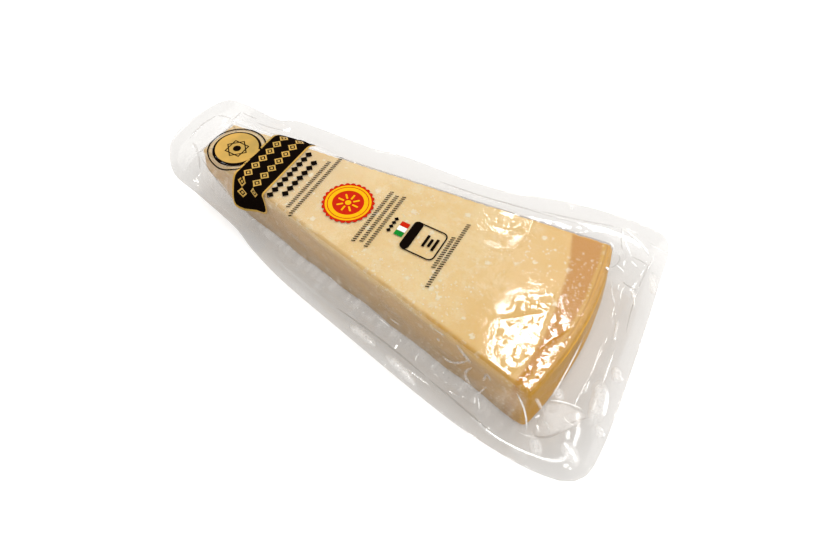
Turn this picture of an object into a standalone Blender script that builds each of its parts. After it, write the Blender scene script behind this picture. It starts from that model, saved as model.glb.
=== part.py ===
"""A wedge of hard cheese in a clear vacuum pack, lying flat.

One closed solid: the wedge under its tight film, the film's skirt that leaves the wedge low on its
sides, and the wavy sealed flange round it. Metres, +Z up. The origin is on the table under the
middle of the pack, and the wedge points along -X with its rind at +X.
"""

import math

import bmesh
import bpy
import numpy as np
from mathutils import Vector

# The wedge, measured from the middle of its cut tip along its axis
WEDGE_LENGTH = 0.150
WEDGE_HEIGHT = 0.020
TIP_WIDTH = 0.018
RIND_WIDTH = 0.0655
RIND_BULGE = 0.0038
TIP_CORNER_RADIUS = 0.0022
RIND_CORNER_RADIUS = 0.0030
TOP_ROUNDING = 0.0020
FOOT_ROUNDING = 0.0024
SIDE_FLARE = 0.0014
TIP_LIFT = 0.0105
TIP_LIFT_REACH = 0.020

# The slight unevenness of the cut faces: its height, and its waves in radians for each metre
CUT_UNEVENNESS = 0.00025
LONG_WAVE = 210
CROSS_WAVE = 260
SLANT_WAVE = (95, 330)
SIDE_WAVE_STRETCH = Vector((1.3, 2.0))

# The sealed flange: its outer edge as (along the axis, across, height), all round the pack
FLANGE_EDGE = (
    (-0.0193, 0.0050, 0.0157),
    (-0.0155, 0.0195, 0.0164),
    (-0.0062, 0.0222, 0.0170),
    (0.0107, 0.0223, 0.0168),
    (0.0198, 0.0269, 0.0162),
    (0.0477, 0.0322, 0.0130),
    (0.0619, 0.0372, 0.0112),
    (0.0866, 0.0409, 0.0095),
    (0.1043, 0.0440, 0.0090),
    (0.1222, 0.0505, 0.0095),
    (0.1390, 0.0542, 0.0102),
    (0.1590, 0.0550, 0.0110),
    (0.1665, 0.0500, 0.0115),
    (0.1690, 0.0335, 0.0110),
    (0.1725, 0.0010, 0.0100),
    (0.1748, -0.0320, 0.0090),
    (0.1720, -0.0438, 0.0090),
    (0.1600, -0.0477, 0.0086),
    (0.1400, -0.0475, 0.0080),
    (0.1215, -0.0450, 0.0070),
    (0.0890, -0.0392, 0.0060),
    (0.0570, -0.0335, 0.0060),
    (0.0390, -0.0288, 0.0065),
    (0.0270, -0.0247, 0.0075),
    (0.0065, -0.0213, 0.0100),
    (-0.0055, -0.0200, 0.0125),
    (-0.0140, -0.0140, 0.0145),
    (-0.0180, -0.0070, 0.0155),
)
FLANGE_THICKNESS = 0.0008
BORDER_SHARE = 0.55
BORDER_RIDGE = 0.0004

# Where the film leaves the wedge: how far it stands off, from 0 where it hugs to 1 where it tents
HUG_NEAR_SIDE = 0.0
HUG_FAR_SIDE = 0.45
HUG_RIND = 0.25
HUG_TIP = 0.5
ROOT_SHARE = 0.25
LEAVE_SHARE = 0.50
TENT_LEAVE_SHARE = 0.84
TENT_STEPS = 3
BEND_REACH = 0.12
TENT_STRAIGHTENS = 0.55
POCKET_REACH = 0.2

# Fineness
TOP_ANGLES = (0, 30, 60, 90)
FOOT_ANGLES = (35, 65, 90)
SIDE_STEPS = 26
RIND_STEPS = 14
TIP_STEPS = 5
CORNER_STEPS = 10
EDGE_STEPS_PER_SPAN = 12
SKIRT_STEPS = 6
POCKET_STEPS = 3
FLANGE_STEPS = 3
TOP_SHRINKS = (0.85, 0.45)
SPINE_START = 0.012
SPINE_END = 0.130
UNDER_SHRINKS = (0.8, 0.5, 0.2)

# The pack's middle, measured from the middle of the wedge's tip
MIDDLE_ALONG = 0.0777
MIDDLE_ACROSS = 0.0036

CHEESE_COLOUR = (0.86, 0.66, 0.36, 1.0)
FILM_ROUGHNESS = 0.18
SHARP_ANGLE = math.radians(40)


class LoopPoint:
    """A point of the wedge's outline, with its outward direction and how far the film tents there."""

    def __init__(self, place, outward, tent):
        self.place = place
        self.outward = outward
        self.tent = tent
        self.reach = 0.0
        self.edge_height = 0.0


def half_width(along):
    """Half the wedge's width at a distance from its tip."""
    return (TIP_WIDTH + (RIND_WIDTH - TIP_WIDTH) * along / WEDGE_LENGTH) / 2


def corner_points(corner, start_angle, end_angle, radius):
    """A rounded corner: the arc's points from one outward angle to the other, tented all the way."""
    bisector = (start_angle + end_angle) / 2
    spread = (end_angle - start_angle) / 2
    middle = corner - Vector((math.cos(bisector), math.sin(bisector))) * radius / math.cos(spread)
    points = []
    for step in range(CORNER_STEPS + 1):
        angle = start_angle + (end_angle - start_angle) * step / CORNER_STEPS
        outward = Vector((math.cos(angle), math.sin(angle)))
        points.append(LoopPoint(middle + outward * radius, outward, 1.0))
    return points


def straight_points(first, last, steps, tent, bulge=0.0):
    """The points strictly between two corners, bowed outwards by bulge."""
    run = last.place - first.place
    outward = Vector((run.y, -run.x)).normalized()
    points = []
    for step in range(1, steps):
        share = step / steps
        bow = 4 * bulge * share * (1 - share)
        turn = (last.outward - first.outward) * (share - 0.5) * (bulge > 0)
        place = first.place + run * share + outward * bow
        near_corner = max(0.0, 1 - min(share, 1 - share) * steps / TENT_STEPS)
        facing = (outward + turn).normalized()
        points.append(LoopPoint(place, facing, tent + (1 - tent) * near_corner))
    return points


def wedge_outline():
    """The outline of the wedge's top, anticlockwise from its near tip corner."""
    slant = math.atan2((RIND_WIDTH - TIP_WIDTH) / 2, WEDGE_LENGTH)
    near_side = -math.pi / 2 - slant
    far_side = math.pi / 2 + slant
    rind_turn = math.atan2(4 * RIND_BULGE, RIND_WIDTH)
    tip, rind = 0.0, WEDGE_LENGTH
    near_tip = corner_points(
        Vector((tip, -half_width(tip))), -math.pi, near_side, TIP_CORNER_RADIUS
    )
    near_rind = corner_points(
        Vector((rind, -half_width(rind))), near_side, -rind_turn, RIND_CORNER_RADIUS
    )
    far_rind = corner_points(
        Vector((rind, half_width(rind))), rind_turn, far_side, RIND_CORNER_RADIUS
    )
    far_tip = corner_points(
        Vector((tip, half_width(tip))), far_side, math.pi, TIP_CORNER_RADIUS
    )
    return (
        near_tip
        + straight_points(near_tip[-1], near_rind[0], SIDE_STEPS, HUG_NEAR_SIDE)
        + near_rind
        + straight_points(near_rind[-1], far_rind[0], RIND_STEPS, HUG_RIND, RIND_BULGE)
        + far_rind
        + straight_points(far_rind[-1], far_tip[0], SIDE_STEPS, HUG_FAR_SIDE)
        + far_tip
        + straight_points(far_tip[-1], near_tip[0], TIP_STEPS, HUG_TIP)
    )


def flange_curve():
    """The flange's outer edge as a closed smooth curve through its points."""
    points = np.array(FLANGE_EDGE)
    before, after, beyond = (np.roll(points, shift, axis=0) for shift in (1, -1, -2))
    spans = []
    for t in np.arange(EDGE_STEPS_PER_SPAN) / EDGE_STEPS_PER_SPAN:
        spans.append(
            0.5
            * (
                2 * points
                + (after - before) * t
                + (2 * before - 5 * points + 4 * after - beyond) * t**2
                + (3 * points - before - 3 * after + beyond) * t**3
            )
        )
    return np.stack(spans, axis=1).reshape(-1, 3)


def reach_flange(point, curve):
    """Sets how far the flange's edge is from a point of the wedge along its direction, and how high."""
    start = np.array(point.place)
    along = np.array(point.outward)
    across = np.array((-along[1], along[0]))
    offsets = curve[:, :2] - start
    side = offsets @ across
    next_side = np.roll(side, -1)
    ahead = offsets @ along
    crossing = (side * next_side <= 0) & (side != next_side) & (ahead > 0)
    where = np.flatnonzero(crossing)
    share = side[where] / (side[where] - next_side[where])
    distance = ahead[where] + (np.roll(ahead, -1)[where] - ahead[where]) * share
    height = curve[where, 2] + (np.roll(curve[:, 2], -1)[where] - curve[where, 2]) * share
    nearest = int(np.argmin(distance))
    point.reach = float(distance[nearest])
    point.edge_height = float(height[nearest])


def underside(along):
    """How high the wedge's underside is: flat, but rising towards the rough tip."""
    share = max(0.0, 1 - max(along, 0.0) / TIP_LIFT_REACH)
    return TIP_LIFT * share**2


def waver(along, across):
    """The slight unevenness of a cut face."""
    slanted = along * SLANT_WAVE[0] + across * SLANT_WAVE[1]
    crossed = math.sin(along * LONG_WAVE) * math.cos(across * CROSS_WAVE)
    return CUT_UNEVENNESS * (crossed + math.sin(slanted) / 2)


def bezier(start, middle, end, share):
    """A point on the curve from start to end that leans towards middle."""
    return start * (1 - share) ** 2 + middle * 2 * share * (1 - share) + end * share**2


def side_offset(point, height):
    """How far the flared, uneven side stands out from the top's outline at a height."""
    flare = SIDE_FLARE * (WEDGE_HEIGHT - height) / WEDGE_HEIGHT
    return flare + waver(point.place.x * SIDE_WAVE_STRETCH.x, height * SIDE_WAVE_STRETCH.y)


def rounding(side, level, radius, degrees):
    """A place on a quarter round that turns from the flat at level to the side, (offset, height)."""
    angle = math.radians(degrees)
    return Vector((side - abs(radius) * (1 - math.sin(angle)), level - radius * (1 - math.cos(angle))))


def film_section(point):
    """One place of the outline from the top's rounding to the wedge's foot, as (offset, height) steps."""
    foot = underside(point.place.x)
    body = WEDGE_HEIGHT - foot
    root = foot + ROOT_SHARE * body
    leave = foot + body * (LEAVE_SHARE + (TENT_LEAVE_SHARE - LEAVE_SHARE) * point.tent)
    border = Vector((BORDER_SHARE * point.reach, (root + point.edge_height) / 2))
    edge = Vector((point.reach, point.edge_height))
    thickness = Vector((0.0, FLANGE_THICKNESS))

    section = [rounding(0.0, WEDGE_HEIGHT, TOP_ROUNDING, degrees) for degrees in TOP_ANGLES]
    start = Vector((side_offset(point, leave), leave))
    bend = Vector((side_offset(point, root) + BEND_REACH * point.reach, root))
    bend = bend.lerp((start + border) / 2, TENT_STRAIGHTENS * point.tent)
    section += [bezier(start, bend, border, step / SKIRT_STEPS) for step in range(SKIRT_STEPS)]
    section.append(border + Vector((0.0, BORDER_RIDGE)))
    section += [border.lerp(edge, (step + 0.5) / FLANGE_STEPS) for step in range(FLANGE_STEPS)]
    section += [edge, edge - thickness, border - thickness]

    ankle = foot + FOOT_ROUNDING
    heel = Vector((side_offset(point, ankle), ankle))
    hollow = Vector((heel.x + POCKET_REACH * point.reach, (ankle + root) / 2))
    for step in range(1, POCKET_STEPS + 1):
        section.append(bezier(border - thickness, hollow, heel, step / POCKET_STEPS))
    section += [rounding(heel.x, foot, -FOOT_ROUNDING, 90 - degrees) for degrees in FOOT_ANGLES]
    return section


def place_on_section(point, offset, height):
    """The place in the pack's frame of an offset and a height at a point of the outline."""
    flat = point.place + point.outward * offset
    return Vector((flat.x - MIDDLE_ALONG, flat.y - MIDDLE_ACROSS, height))


def shrunk(place, share):
    """A point of a cap drawn in towards the wedge's middle line, to share of its distance."""
    along = min(max(place.x + MIDDLE_ALONG, SPINE_START), SPINE_END)
    middle = Vector((along - MIDDLE_ALONG, -MIDDLE_ACROSS, place.z))
    return middle.lerp(place, share)


def ring_places(outline):
    """Every ring of the solid, from the middle of the top, over the flange, to the underside."""
    sections = [film_section(point) for point in outline]
    count = len(sections[0])
    rings = [
        [place_on_section(point, *section[index]) for point, section in zip(outline, sections)]
        for index in range(count)
    ]
    top = []
    for share in TOP_SHRINKS:
        ring = [shrunk(place, share) for place in rings[0]]
        top.insert(0, [place + Vector((0, 0, -abs(waver(place.x, place.y)))) for place in ring])
    under = []
    for share in UNDER_SHRINKS:
        ring = [shrunk(place, share) for place in rings[-1]]
        for place in ring:
            place.z = underside(place.x + MIDDLE_ALONG)
        under.append(ring)
    return top + rings + under


def lofted(rings, name):
    """A closed mesh: a circle extruded from ring to ring, each set in its place, with both ends filled."""
    bm = bmesh.new()
    bmesh.ops.create_circle(bm, segments=len(rings[0]), radius=WEDGE_LENGTH)
    verts = list(bm.verts)
    edges = list(bm.edges)
    for vert, place in zip(verts, rings[0]):
        vert.co = place
    bmesh.ops.contextual_create(bm, geom=edges)
    for ring in rings[1:]:
        made = bmesh.ops.extrude_edge_only(bm, edges=edges)["geom"]
        new_verts = {item for item in made if isinstance(item, bmesh.types.BMVert)}
        edges = [item for item in made if isinstance(item, bmesh.types.BMEdge)]
        verts = [
            next(edge.other_vert(vert) for edge in vert.link_edges if edge.other_vert(vert) in new_verts)
            for vert in verts
        ]
        edges = [edge for edge in edges if edge.verts[0] in new_verts and edge.verts[1] in new_verts]
        for vert, place in zip(verts, ring):
            vert.co = place
    bmesh.ops.contextual_create(bm, geom=edges)
    bmesh.ops.triangulate(bm, faces=bm.faces)
    bmesh.ops.recalc_face_normals(bm, faces=bm.faces)
    mesh = bpy.data.meshes.new(name)
    bm.to_mesh(mesh)
    bm.free()
    return mesh


def pack_material():
    """The pack's plain finish: pale straw cheese under glossy film."""
    material = bpy.data.materials.new("cheese_under_film")
    material.use_nodes = True
    shader = material.node_tree.nodes["Principled BSDF"]
    shader.inputs["Base Color"].default_value = CHEESE_COLOUR
    shader.inputs["Roughness"].default_value = FILM_ROUGHNESS
    shader.inputs["Metallic"].default_value = 0.0
    return material


def main():
    for leftover in list(bpy.data.objects):
        bpy.data.objects.remove(leftover)
    curve = flange_curve()
    outline = wedge_outline()
    for point in outline:
        reach_flange(point, curve)
    mesh = lofted(ring_places(outline), "sealed_wedge")
    mesh.materials.append(pack_material())
    mesh.shade_smooth()
    mesh.set_sharp_from_angle(angle=SHARP_ANGLE)
    pack = bpy.data.objects.new("sealed_wedge", mesh)
    bpy.context.scene.collection.objects.link(pack)


main()
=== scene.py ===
"""A long wedge of hard cheese, vacuum-packed in clear printed film with a sealed flange round it.

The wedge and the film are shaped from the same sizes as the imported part, only finer. Sizes are in
metres. The wedge's own frame has its origin in the middle of the wedge's cut tip, with x along the
wedge towards the rind, y across it towards the far side and z up from the table. The pack's frame
has its origin under the middle of the pack.
"""

from __future__ import annotations

import logging
import math
from collections.abc import Mapping
from dataclasses import dataclass, field
from enum import Enum

import bmesh
import bpy
import numpy as np
from mathutils import Matrix, Quaternion, Vector
from mathutils.bvhtree import BVHTree

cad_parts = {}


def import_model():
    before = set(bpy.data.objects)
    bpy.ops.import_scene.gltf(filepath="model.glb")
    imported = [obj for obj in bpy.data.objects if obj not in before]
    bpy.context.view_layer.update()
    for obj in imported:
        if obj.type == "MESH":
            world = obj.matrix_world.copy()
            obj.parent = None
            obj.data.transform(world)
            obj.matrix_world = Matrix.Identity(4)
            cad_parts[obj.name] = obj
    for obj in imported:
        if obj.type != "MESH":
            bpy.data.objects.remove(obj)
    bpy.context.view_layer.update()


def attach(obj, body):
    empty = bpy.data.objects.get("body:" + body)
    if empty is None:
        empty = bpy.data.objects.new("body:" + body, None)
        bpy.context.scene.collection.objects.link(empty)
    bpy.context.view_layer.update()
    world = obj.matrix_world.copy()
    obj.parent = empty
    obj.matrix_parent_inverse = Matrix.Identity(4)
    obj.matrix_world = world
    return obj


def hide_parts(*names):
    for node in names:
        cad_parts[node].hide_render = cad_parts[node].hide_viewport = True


LOG = logging.getLogger("cheese_pack")
MM = 0.001
BODY = "root"
CAD_NODE = "sealed_wedge"
WELD = 2e-6
SLIVER = 1e-7
ON_PLANE = 1e-6
NO_LENGTH = 1e-12
SCALLOP_SIDES = 8
GRAZING_POWER = 5.0
Colour = tuple[float, float, float, float]
Triple = tuple[float, float, float]
Place = tuple[float, float]
Span = tuple[float, float]
# How far a place has to face a side to start to belong to it, and to belong to it fully.
TURNED: Span = (0.2, 0.9)
WHITE: Colour = (1.0, 1.0, 1.0, 1.0)


class Slot(Enum):
    """The finishes that the record lists."""

    PASTE = "cheese_paste"
    FILM = "clear_film"
    BLACK = "black_ink"
    GOLD = "gold_ink"
    RED = "red_ink"
    YELLOW = "yellow_ink"
    WHITE = "white_ink"
    GREEN = "green_ink"


@dataclass(frozen=True)
class WedgeSizes:
    """The wedge's sizes, and where its frame lies in the pack's."""

    length: float = 0.150
    height: float = 0.020
    tip_width: float = 0.018
    rind_width: float = 0.0655
    rind_bulge: float = 0.0038
    tip_corner: float = 0.0013
    rind_corner: float = 0.0016
    top_rounding: float = 0.0011
    foot_rounding: float = 0.0010
    side_flare: float = 0.0017
    tip_lift: float = 0.0105
    tip_lift_reach: float = 0.020
    unevenness: float = 0.00025
    crossed_waves: Span = (210.0, 260.0)
    slanted_waves: Span = (95.0, 330.0)
    side_fineness: Span = (1.3, 2.0)
    rind_swell: float = 0.0012
    swell_power: float = 0.6
    middle_along: float = 0.0777
    middle_across: float = 0.0036
    spine_start: float = 0.012
    spine_end: float = 0.130

    @property
    def slant(self) -> float:
        """The angle between each long side and the wedge's axis."""
        return math.atan2((self.rind_width - self.tip_width) / 2, self.length)

    @property
    def pack_origin(self) -> Triple:
        """The pack's origin in the wedge's frame."""
        return self.middle_along, self.middle_across, 0.0

    def underside(self, along: np.ndarray) -> np.ndarray:
        """How high the underside is at distances from the tip: flat, but rising towards the rough tip."""
        share = np.clip(1 - np.clip(along, 0, None) / self.tip_lift_reach, 0, None)
        return self.tip_lift * share**2

    def waver(self, along: np.ndarray, across: np.ndarray) -> np.ndarray:
        """The slight unevenness of a cut face.

        Args:
            along: places along the face.
            across: places across it.

        Returns:
            Heights above the plain face.
        """
        crossed = np.sin(along * self.crossed_waves[0]) * np.cos(across * self.crossed_waves[1])
        slanted = np.sin(along * self.slanted_waves[0] + across * self.slanted_waves[1])
        return self.unevenness * (crossed + slanted / 2)

    def side_offset(self, loop: Loop, height: np.ndarray) -> np.ndarray:
        """How far the side stands out from the top's outline: flared, uneven, and fuller at the rind.

        Args:
            loop: the outline.
            height: heights above the table.

        Returns:
            Offsets along the outline's outward direction.
        """
        depth = np.clip((self.height - height) / self.height, 0, 1)
        swell = self.rind_swell * depth**self.swell_power * loop.rind
        waver = self.waver(loop.along * self.side_fineness[0], height * self.side_fineness[1])
        return self.side_flare * depth + swell + waver

    def in_pack(self, points: np.ndarray) -> np.ndarray:
        """Points of the wedge's frame, with x, y and z on the last axis, in the pack's frame."""
        return points - np.array(self.pack_origin)


@dataclass(frozen=True)
class FlangeSizes:
    """The sealed flange's outer edge, and how the film runs out to it."""

    edge: tuple[Triple, ...] = (
        (-0.0193, 0.0050, 0.0157),
        (-0.0155, 0.0195, 0.0164),
        (-0.0062, 0.0222, 0.0170),
        (0.0107, 0.0223, 0.0168),
        (0.0198, 0.0269, 0.0162),
        (0.0477, 0.0322, 0.0130),
        (0.0619, 0.0372, 0.0112),
        (0.0866, 0.0409, 0.0095),
        (0.1043, 0.0440, 0.0090),
        (0.1222, 0.0505, 0.0095),
        (0.1390, 0.0542, 0.0102),
        (0.1590, 0.0550, 0.0110),
        (0.1665, 0.0500, 0.0115),
        (0.1690, 0.0335, 0.0110),
        (0.1725, 0.0010, 0.0100),
        (0.1748, -0.0320, 0.0090),
        (0.1720, -0.0438, 0.0090),
        (0.1600, -0.0477, 0.0086),
        (0.1400, -0.0475, 0.0080),
        (0.1215, -0.0450, 0.0070),
        (0.0890, -0.0392, 0.0060),
        (0.0570, -0.0335, 0.0060),
        (0.0390, -0.0288, 0.0065),
        (0.0270, -0.0247, 0.0075),
        (0.0065, -0.0213, 0.0100),
        (-0.0055, -0.0200, 0.0125),
        (-0.0140, -0.0140, 0.0145),
        (-0.0180, -0.0070, 0.0155),
    )
    thickness: float = 0.00035
    border_share: float = 0.66
    border_ridge: float = 0.00007
    hug_near_side: float = 0.0
    hug_far_side: float = 0.45
    hug_rind: float = 0.25
    hug_tip: float = 0.5
    root_share: float = 0.17
    leave_share: float = 0.38
    tent_leave_share: float = 0.84
    bend_reach: float = 0.12
    tent_straightens: float = 0.55
    pocket_reach: float = 0.2
    steps_per_span: int = 12

    def curve(self) -> np.ndarray:
        """The outer edge as a closed smooth curve.

        Returns:
            The curve's points in the wedge's frame.
        """
        points = np.array(self.edge)
        before, after, beyond = (np.roll(points, shift, axis=0) for shift in (1, -1, -2))
        spans = [
            0.5
            * (
                2 * points
                + (after - before) * t
                + (2 * before - 5 * points + 4 * after - beyond) * t**2
                + (3 * points - before - 3 * after + beyond) * t**3
            )
            for t in np.arange(self.steps_per_span) / self.steps_per_span
        ]
        return np.stack(spans, axis=1).reshape(-1, 3)


@dataclass
class Loop:
    """The outline of the wedge's top, one row of each array for each place round it."""

    place: np.ndarray
    outward: np.ndarray
    tent: np.ndarray
    reach: np.ndarray = field(default_factory=lambda: np.zeros(0))
    edge_height: np.ndarray = field(default_factory=lambda: np.zeros(0))
    far_tent: Span = (0.032, 0.062)
    near_tent: Span = (0.017, 0.034)

    @property
    def along(self) -> np.ndarray:
        """Each place's distance from the tip."""
        return self.place[:, 0]

    @property
    def rind(self) -> np.ndarray:
        """How much each place belongs to the rind, from 0 to 1."""
        return smooth_between(self.outward[:, 0], *TURNED)

    @property
    def tip_tent(self) -> np.ndarray:
        """How much each place belongs to the long tents on both sides of the tip.

        Returns:
            Shares from 0 to 1.
        """
        far = smooth_between(self.outward[:, 1], *TURNED) * (1 - smooth_between(self.along, *self.far_tent))
        near = smooth_between(-self.outward[:, 1], *TURNED) * (1 - smooth_between(self.along, *self.near_tent))
        return far + near

    def measure(self, curve: np.ndarray) -> None:
        """Finds how far and how high the flange's edge is from each place, along its direction.

        Args:
            curve: the flange's outer edge.
        """
        reaches, heights = [], []
        for place, outward in zip(self.place, self.outward):
            offsets = curve[:, :2] - place
            side = offsets @ np.array((-outward[1], outward[0]))
            ahead = offsets @ outward
            next_side = np.roll(side, -1)
            where = np.flatnonzero((side * next_side <= 0) & (side != next_side) & (ahead > 0))
            share = side[where] / (side[where] - next_side[where])
            distance = ahead[where] + (np.roll(ahead, -1)[where] - ahead[where]) * share
            height = curve[where, 2] + (np.roll(curve[:, 2], -1)[where] - curve[where, 2]) * share
            nearest = int(np.argmin(distance))
            reaches.append(distance[nearest])
            heights.append(height[nearest])
        self.reach = np.array(reaches)
        self.edge_height = np.array(heights)


@dataclass(frozen=True)
class Outline:
    """Draws the outline of the wedge's top at a chosen fineness."""

    wedge: WedgeSizes
    flange: FlangeSizes
    side_steps: int = 172
    rind_steps: int = 96
    tip_steps: int = 20
    corner_steps: int = 10
    side_tent_share: float = 3 / 26
    rind_tent_share: float = 3 / 14
    tip_tent_share: float = 3 / 5

    def corner(self, along: float, across: float, start: float, end: float, radius: float) -> np.ndarray:
        """A rounded corner, tented all the way.

        Args:
            along: the sharp corner's distance from the tip.
            across: its distance from the axis.
            start: the outward angle where the corner starts.
            end: the outward angle where it ends.
            radius: the corner's radius.

        Returns:
            Rows of place, outward direction and tent.
        """
        bisector, spread = (start + end) / 2, (end - start) / 2
        lean = np.array((math.cos(bisector), math.sin(bisector)))
        middle = np.array((along, across)) - lean * radius / math.cos(spread)
        angles = np.linspace(start, end, self.corner_steps + 1)
        outward = np.stack((np.cos(angles), np.sin(angles)), axis=1)
        return np.column_stack((middle + outward * radius, outward, np.ones(len(angles))))

    def side(
        self, first: np.ndarray, last: np.ndarray, steps: int, tent: float, tent_share: float, bulge: float = 0.0
    ) -> np.ndarray:
        """The places strictly between two corners.

        Args:
            first: the row that the side starts from.
            last: the row that it ends at.
            steps: the number of steps between them.
            tent: how far the film tents along the side.
            tent_share: the share of the side, from each corner, where it tents more.
            bulge: how far the side bows outwards.

        Returns:
            Rows of place, outward direction and tent.
        """
        share = np.arange(1, steps)[:, None] / steps
        run = last[:2] - first[:2]
        outward = np.array((run[1], -run[0])) / np.hypot(*run)
        place = first[:2] + run * share + outward * (4 * bulge * share * (1 - share))
        facing = outward + (last[2:4] - first[2:4]) * (share - 0.5) * (bulge > 0)
        facing /= np.linalg.norm(facing, axis=1, keepdims=True)
        near_corner = smooth_between(1 - np.minimum(share, 1 - share) / tent_share, 0, 1)
        return np.column_stack((place, facing, tent + (1 - tent) * near_corner))

    def loop(self) -> Loop:
        """The whole outline, anticlockwise from the near tip corner.

        Returns:
            The loop, with the flange's edge measured from it.
        """
        wedge, flange = self.wedge, self.flange
        near, far = -math.pi / 2 - wedge.slant, math.pi / 2 + wedge.slant
        turn = math.atan2(4 * wedge.rind_bulge, wedge.rind_width)
        tip, rind = wedge.tip_width / 2, wedge.rind_width / 2
        near_tip = self.corner(0.0, -tip, -math.pi, near, wedge.tip_corner)
        near_rind = self.corner(wedge.length, -rind, near, -turn, wedge.rind_corner)
        far_rind = self.corner(wedge.length, rind, turn, far, wedge.rind_corner)
        far_tip = self.corner(0.0, tip, far, math.pi, wedge.tip_corner)
        rows = np.concatenate((
            near_tip,
            self.side(near_tip[-1], near_rind[0], self.side_steps, flange.hug_near_side, self.side_tent_share),
            near_rind,
            self.side(
                near_rind[-1], far_rind[0], self.rind_steps, flange.hug_rind, self.rind_tent_share, wedge.rind_bulge
            ),
            far_rind,
            self.side(far_rind[-1], far_tip[0], self.side_steps, flange.hug_far_side, self.side_tent_share),
            far_tip,
            self.side(far_tip[-1], near_tip[0], self.tip_steps, flange.hug_tip, self.tip_tent_share),
        ))
        loop = Loop(rows[:, :2], rows[:, 2:4], rows[:, 4])
        loop.tent = np.maximum(loop.tent, loop.tip_tent)
        loop.measure(flange.curve())
        return loop


def bezier(start: np.ndarray, middle: np.ndarray, end: np.ndarray, share: float | np.ndarray) -> np.ndarray:
    """A point on the curve from start to end that leans towards middle, by its share of the way."""
    return start * (1 - share) ** 2 + middle * 2 * share * (1 - share) + end * share**2


def pair(offset: np.ndarray | float, height: np.ndarray | float) -> np.ndarray:
    """Offsets and heights side by side, one row for each place."""
    return np.stack(np.broadcast_arrays(offset, height), axis=-1).astype(float)


def quarter(side: np.ndarray, level: np.ndarray, radius: float, degrees: float) -> np.ndarray:
    """A quarter round's offset and height, so many degrees from the flat. Under a floor its radius is negative."""
    angle = math.radians(degrees)
    return pair(side - abs(radius) * (1 - math.sin(angle)), level - radius * (1 - math.cos(angle)))


@dataclass(frozen=True)
class Skin:
    """A closed skin: rings of places from the middle of the top over the side to the underside."""

    loop: Loop
    wedge: WedgeSizes
    rings: list[np.ndarray]
    top_rings: int = 40
    under_rings: int = 12

    def spread(self, ring: np.ndarray) -> np.ndarray:
        """A ring's places in the wedge's frame, from its rows of offset and height."""
        flat = self.loop.place + self.loop.outward * ring[:, :1]
        return np.column_stack((flat, ring[:, 1]))

    def cap(self, ring: np.ndarray, steps: int) -> list[np.ndarray]:
        """Rings that draw in from an open ring to the wedge's middle line, the innermost first.

        Args:
            ring: rows of x, y and z.
            steps: the number of rings.

        Returns:
            The rings.
        """
        along = np.clip(ring[:, 0], self.wedge.spine_start, self.wedge.spine_end)
        middle = np.column_stack((along, np.zeros(len(ring)), ring[:, 2]))
        return [middle + (ring - middle) * step / steps for step in range(steps)]

    def grid(self) -> np.ndarray:
        """Every place of the skin.

        Returns:
            An array of ring, place round the loop, and x, y, z.
        """
        middle = [self.spread(ring) for ring in self.rings]
        top = self.cap(middle[0], self.top_rings)
        under = self.cap(middle[-1], self.under_rings)
        for ring in under:
            ring[:, 2] = self.wedge.underside(ring[:, 0])
        return np.array(top + middle + under[::-1])

    def normals(self, grid: np.ndarray) -> np.ndarray:
        """The outward directions of a grid of places.

        Args:
            grid: the places, as from grid().

        Returns:
            An array of the same shape.
        """
        round_loop = np.roll(grid, -1, axis=1) - np.roll(grid, 1, axis=1)
        down = np.gradient(grid, axis=0)
        normal = np.cross(down, round_loop)
        normal[: self.top_rings] = (0, 0, 1)
        normal[-self.under_rings :] = (0, 0, -1)
        return normal / np.maximum(np.linalg.norm(normal, axis=2, keepdims=True), NO_LENGTH)


def wrapped_mesh(name: str, places: np.ndarray, values: Mapping[str, np.ndarray]) -> bpy.types.Mesh:
    """A closed mesh: a flat grid laid over a skin's places, and joined where its edges meet.

    Args:
        name: the mesh's name.
        places: ring by place by x, y, z, in the pack's frame.
        values: numbers for each place that materials read, by attribute name.

    Returns:
        The mesh.
    """
    rings, count = places.shape[:2]
    bm = bmesh.new()
    bmesh.ops.create_grid(bm, x_segments=count, y_segments=rings - 1, size=1.0)
    layers = {key: bm.verts.layers.float.new(key) for key in values}
    for vert in bm.verts:
        column = round((vert.co.x + 1) / 2 * count) % count
        row = round((vert.co.y + 1) / 2 * (rings - 1))
        vert.co = places[row, column]
        for key, layer in layers.items():
            vert[layer] = values[key][row, column]
    bmesh.ops.remove_doubles(bm, verts=bm.verts, dist=WELD)
    bmesh.ops.dissolve_degenerate(bm, edges=bm.edges, dist=SLIVER)
    bmesh.ops.recalc_face_normals(bm, faces=bm.faces)
    return smooth_mesh(name, bm)


def smooth_mesh(name: str, bm: bmesh.types.BMesh) -> bpy.types.Mesh:
    """A smoothly shaded mesh.

    Args:
        name: its name.
        bm: its faces, which are used up.

    Returns:
        The mesh.
    """
    mesh = bpy.data.meshes.new(name)
    bm.to_mesh(mesh)
    bm.free()
    mesh.shade_smooth()
    return mesh


def merge(part: bmesh.types.BMesh, whole: bmesh.types.BMesh) -> None:
    """Adds a part's faces to the whole.

    Args:
        part: the part, which is used up.
        whole: what it becomes a part of.
    """
    mesh = bpy.data.meshes.new("part")
    part.to_mesh(mesh)
    part.free()
    whole.from_mesh(mesh)
    bpy.data.meshes.remove(mesh)


def add_piece(name: str, mesh: bpy.types.Mesh, material: bpy.types.Material) -> bpy.types.Object:
    """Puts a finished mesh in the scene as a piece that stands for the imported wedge.

    Args:
        name: the piece's name.
        mesh: its mesh, in the pack's frame.
        material: its finish.

    Returns:
        The piece.
    """
    mesh.materials.append(material)
    piece = bpy.data.objects.new(name, mesh)
    bpy.context.scene.collection.objects.link(piece)
    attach(piece, BODY)
    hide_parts(CAD_NODE)
    triangles = sum(len(face.vertices) - 2 for face in mesh.polygons)
    LOG.info("%s: %d triangles", name, triangles)
    return piece


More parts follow.
